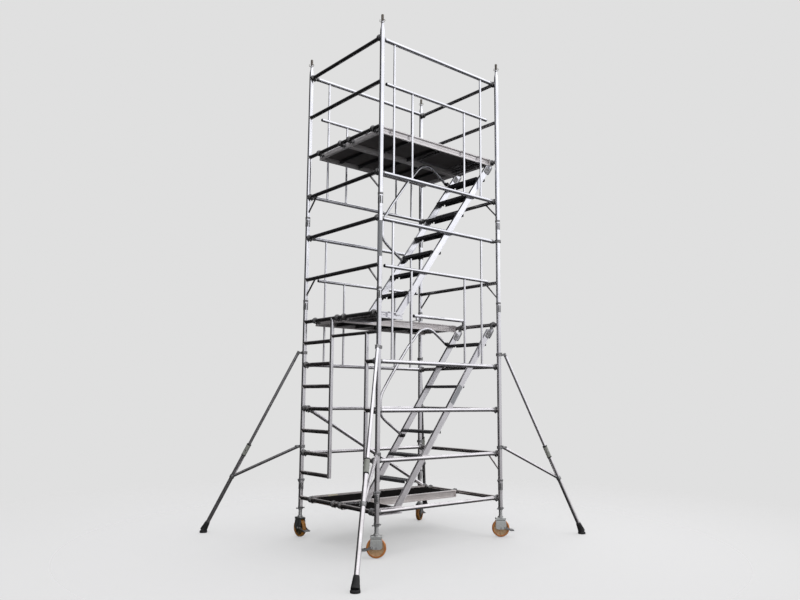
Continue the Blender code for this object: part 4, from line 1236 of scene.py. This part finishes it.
# ------------------------------------------------------------------ studio
def studio():
    scene = bpy.context.scene
    scene.view_settings.view_transform = "Standard"
    world = bpy.data.worlds.new("studio_world")
    scene.world = world
    world.use_nodes = True
    tree = world.node_tree
    tree.nodes.clear()
    add = tree.nodes.new

    def remap(source, *limits):
        node = add("ShaderNodeMapRange")
        tree.links.new(source, node.inputs["Value"])
        for key, value in zip(("From Min", "From Max", "To Min", "To Max"), limits):
            node.inputs[key].default_value = value
        return node.outputs["Result"]

    path = add("ShaderNodeLightPath")
    coords = add("ShaderNodeTexCoord")
    split = add("ShaderNodeSeparateXYZ")
    tree.links.new(coords.outputs["Generated"], split.inputs[0])
    ramp = add("ShaderNodeValToRGB")
    tree.links.new(remap(split.outputs["Z"], -1.0, 1.0, 0.0, 1.0), ramp.inputs["Fac"])
    stops = ((0.0, 0.025), (0.38, 0.03), (0.43, 0.4), (0.53, 0.62), (0.6, 1.05), (1.0, 1.2))
    while len(ramp.color_ramp.elements) < len(stops):
        ramp.color_ramp.elements.new(0.5)
    for element, (place, value) in zip(ramp.color_ramp.elements, stops):
        element.position = place
        element.color = (value * 0.985, value * 0.98, value * 1.015, 1)
    toward = add("ShaderNodeVectorMath")
    toward.operation = "DOT_PRODUCT"
    toward.inputs[1].default_value = (0.64, -0.77, 0.35)
    tree.links.new(coords.outputs["Generated"], toward.inputs[0])
    seen = add("ShaderNodeBackground")
    seen.inputs["Color"].default_value = (0.745, 0.745, 0.745, 1)
    lit = add("ShaderNodeBackground")
    tree.links.new(ramp.outputs["Color"], lit.inputs["Color"])
    tree.links.new(remap(toward.outputs["Value"], -0.46, 0.16, 0.02, 1.18), lit.inputs["Strength"])
    mix = add("ShaderNodeMixShader")
    tree.links.new(path.outputs["Is Camera Ray"], mix.inputs["Fac"])
    tree.links.new(lit.outputs[0], mix.inputs[1])
    tree.links.new(seen.outputs[0], mix.inputs[2])
    out = add("ShaderNodeOutputWorld")
    tree.links.new(mix.outputs[0], out.inputs["Surface"])


def soft_light(name, place, target, size, power, color):
    data = bpy.data.lights.new(name, "AREA")
    data.shape = "RECTANGLE"
    data.size, data.size_y = size
    data.energy = power
    data.color = color
    light = bpy.data.objects.new(name, data)
    light.location = place
    light.visible_glossy = False
    light.rotation_euler = (Vector(target) - Vector(place)).to_track_quat("-Z", "Y").to_euler()
    link(light)


def camera():
    yaw, pitch, roll = (math.radians(a) for a in (CAMERA_YAW, CAMERA_PITCH, CAMERA_ROLL))
    forward = Vector((math.sin(yaw) * math.cos(pitch), math.cos(yaw) * math.cos(pitch),
                      math.sin(pitch)))
    right = Vector((math.cos(yaw), -math.sin(yaw), 0))
    up = right.cross(forward)
    right, up = (right * math.cos(roll) + up * math.sin(roll),
                 up * math.cos(roll) - right * math.sin(roll))
    data = bpy.data.cameras.new("camera")
    data.lens = CAMERA_LENS
    data.sensor_width = 36.0
    cam = bpy.data.objects.new("camera", data)
    turn = Matrix((right, up, -forward)).transposed().to_4x4()
    cam.matrix_world = Matrix.Translation(CAMERA_PLACE) @ turn
    link(cam)
    bpy.context.scene.camera = cam


def floor_disc():
    """Pale floor, half transparent so that lowered castors still show, and clear at its rim."""
    bm = bmesh.new()
    bmesh.ops.create_circle(bm, cap_ends=True, radius=FLOOR_R, segments=96)
    mesh = bpy.data.meshes.new("floor")
    bm.to_mesh(mesh)
    bm.free()
    n = Nodes("pale_floor")
    n.finish((0.68, 0.68, 0.675), 0.9)
    centre = n.add("VectorMath", operation="LENGTH")
    n.join(n.coords, centre.inputs[0])
    near = n.remap(centre.outputs["Value"], FLOOR_SOLID, FLOOR_CLEAR, FLOOR_SEE_THROUGH, 1.0)
    clear = n.tree.nodes.new("ShaderNodeBsdfTransparent")
    mix = n.tree.nodes.new("ShaderNodeMixShader")
    n.join(near, mix.inputs["Fac"])
    n.join(n.shader.outputs[0], mix.inputs[1])
    n.join(clear.outputs[0], mix.inputs[2])
    out = n.tree.nodes["Material Output"]
    n.join(mix.outputs[0], out.inputs["Surface"])
    mesh.materials.append(n.mat)
    floor = bpy.data.objects.new("floor", mesh)
    floor.location = (0, 0, -0.0005)
    floor.visible_glossy = False
    link(floor)


studio()
soft_light("key_right", (6.5, -7.5, 6.0), (0, 0, 2.6), (3.5, 6.0), 160, (1.0, 0.99, 0.97))
soft_light("fill_left", (-9.0, -2.5, 4.0), (0, 0, 2.6), (2.5, 5.0), 110, (0.98, 0.98, 1.0))
soft_light("top", (0.5, 0.5, 9.5), (0, 0, 0), (4.5, 4.5), 260, (1, 1, 1))
camera()
floor_disc()
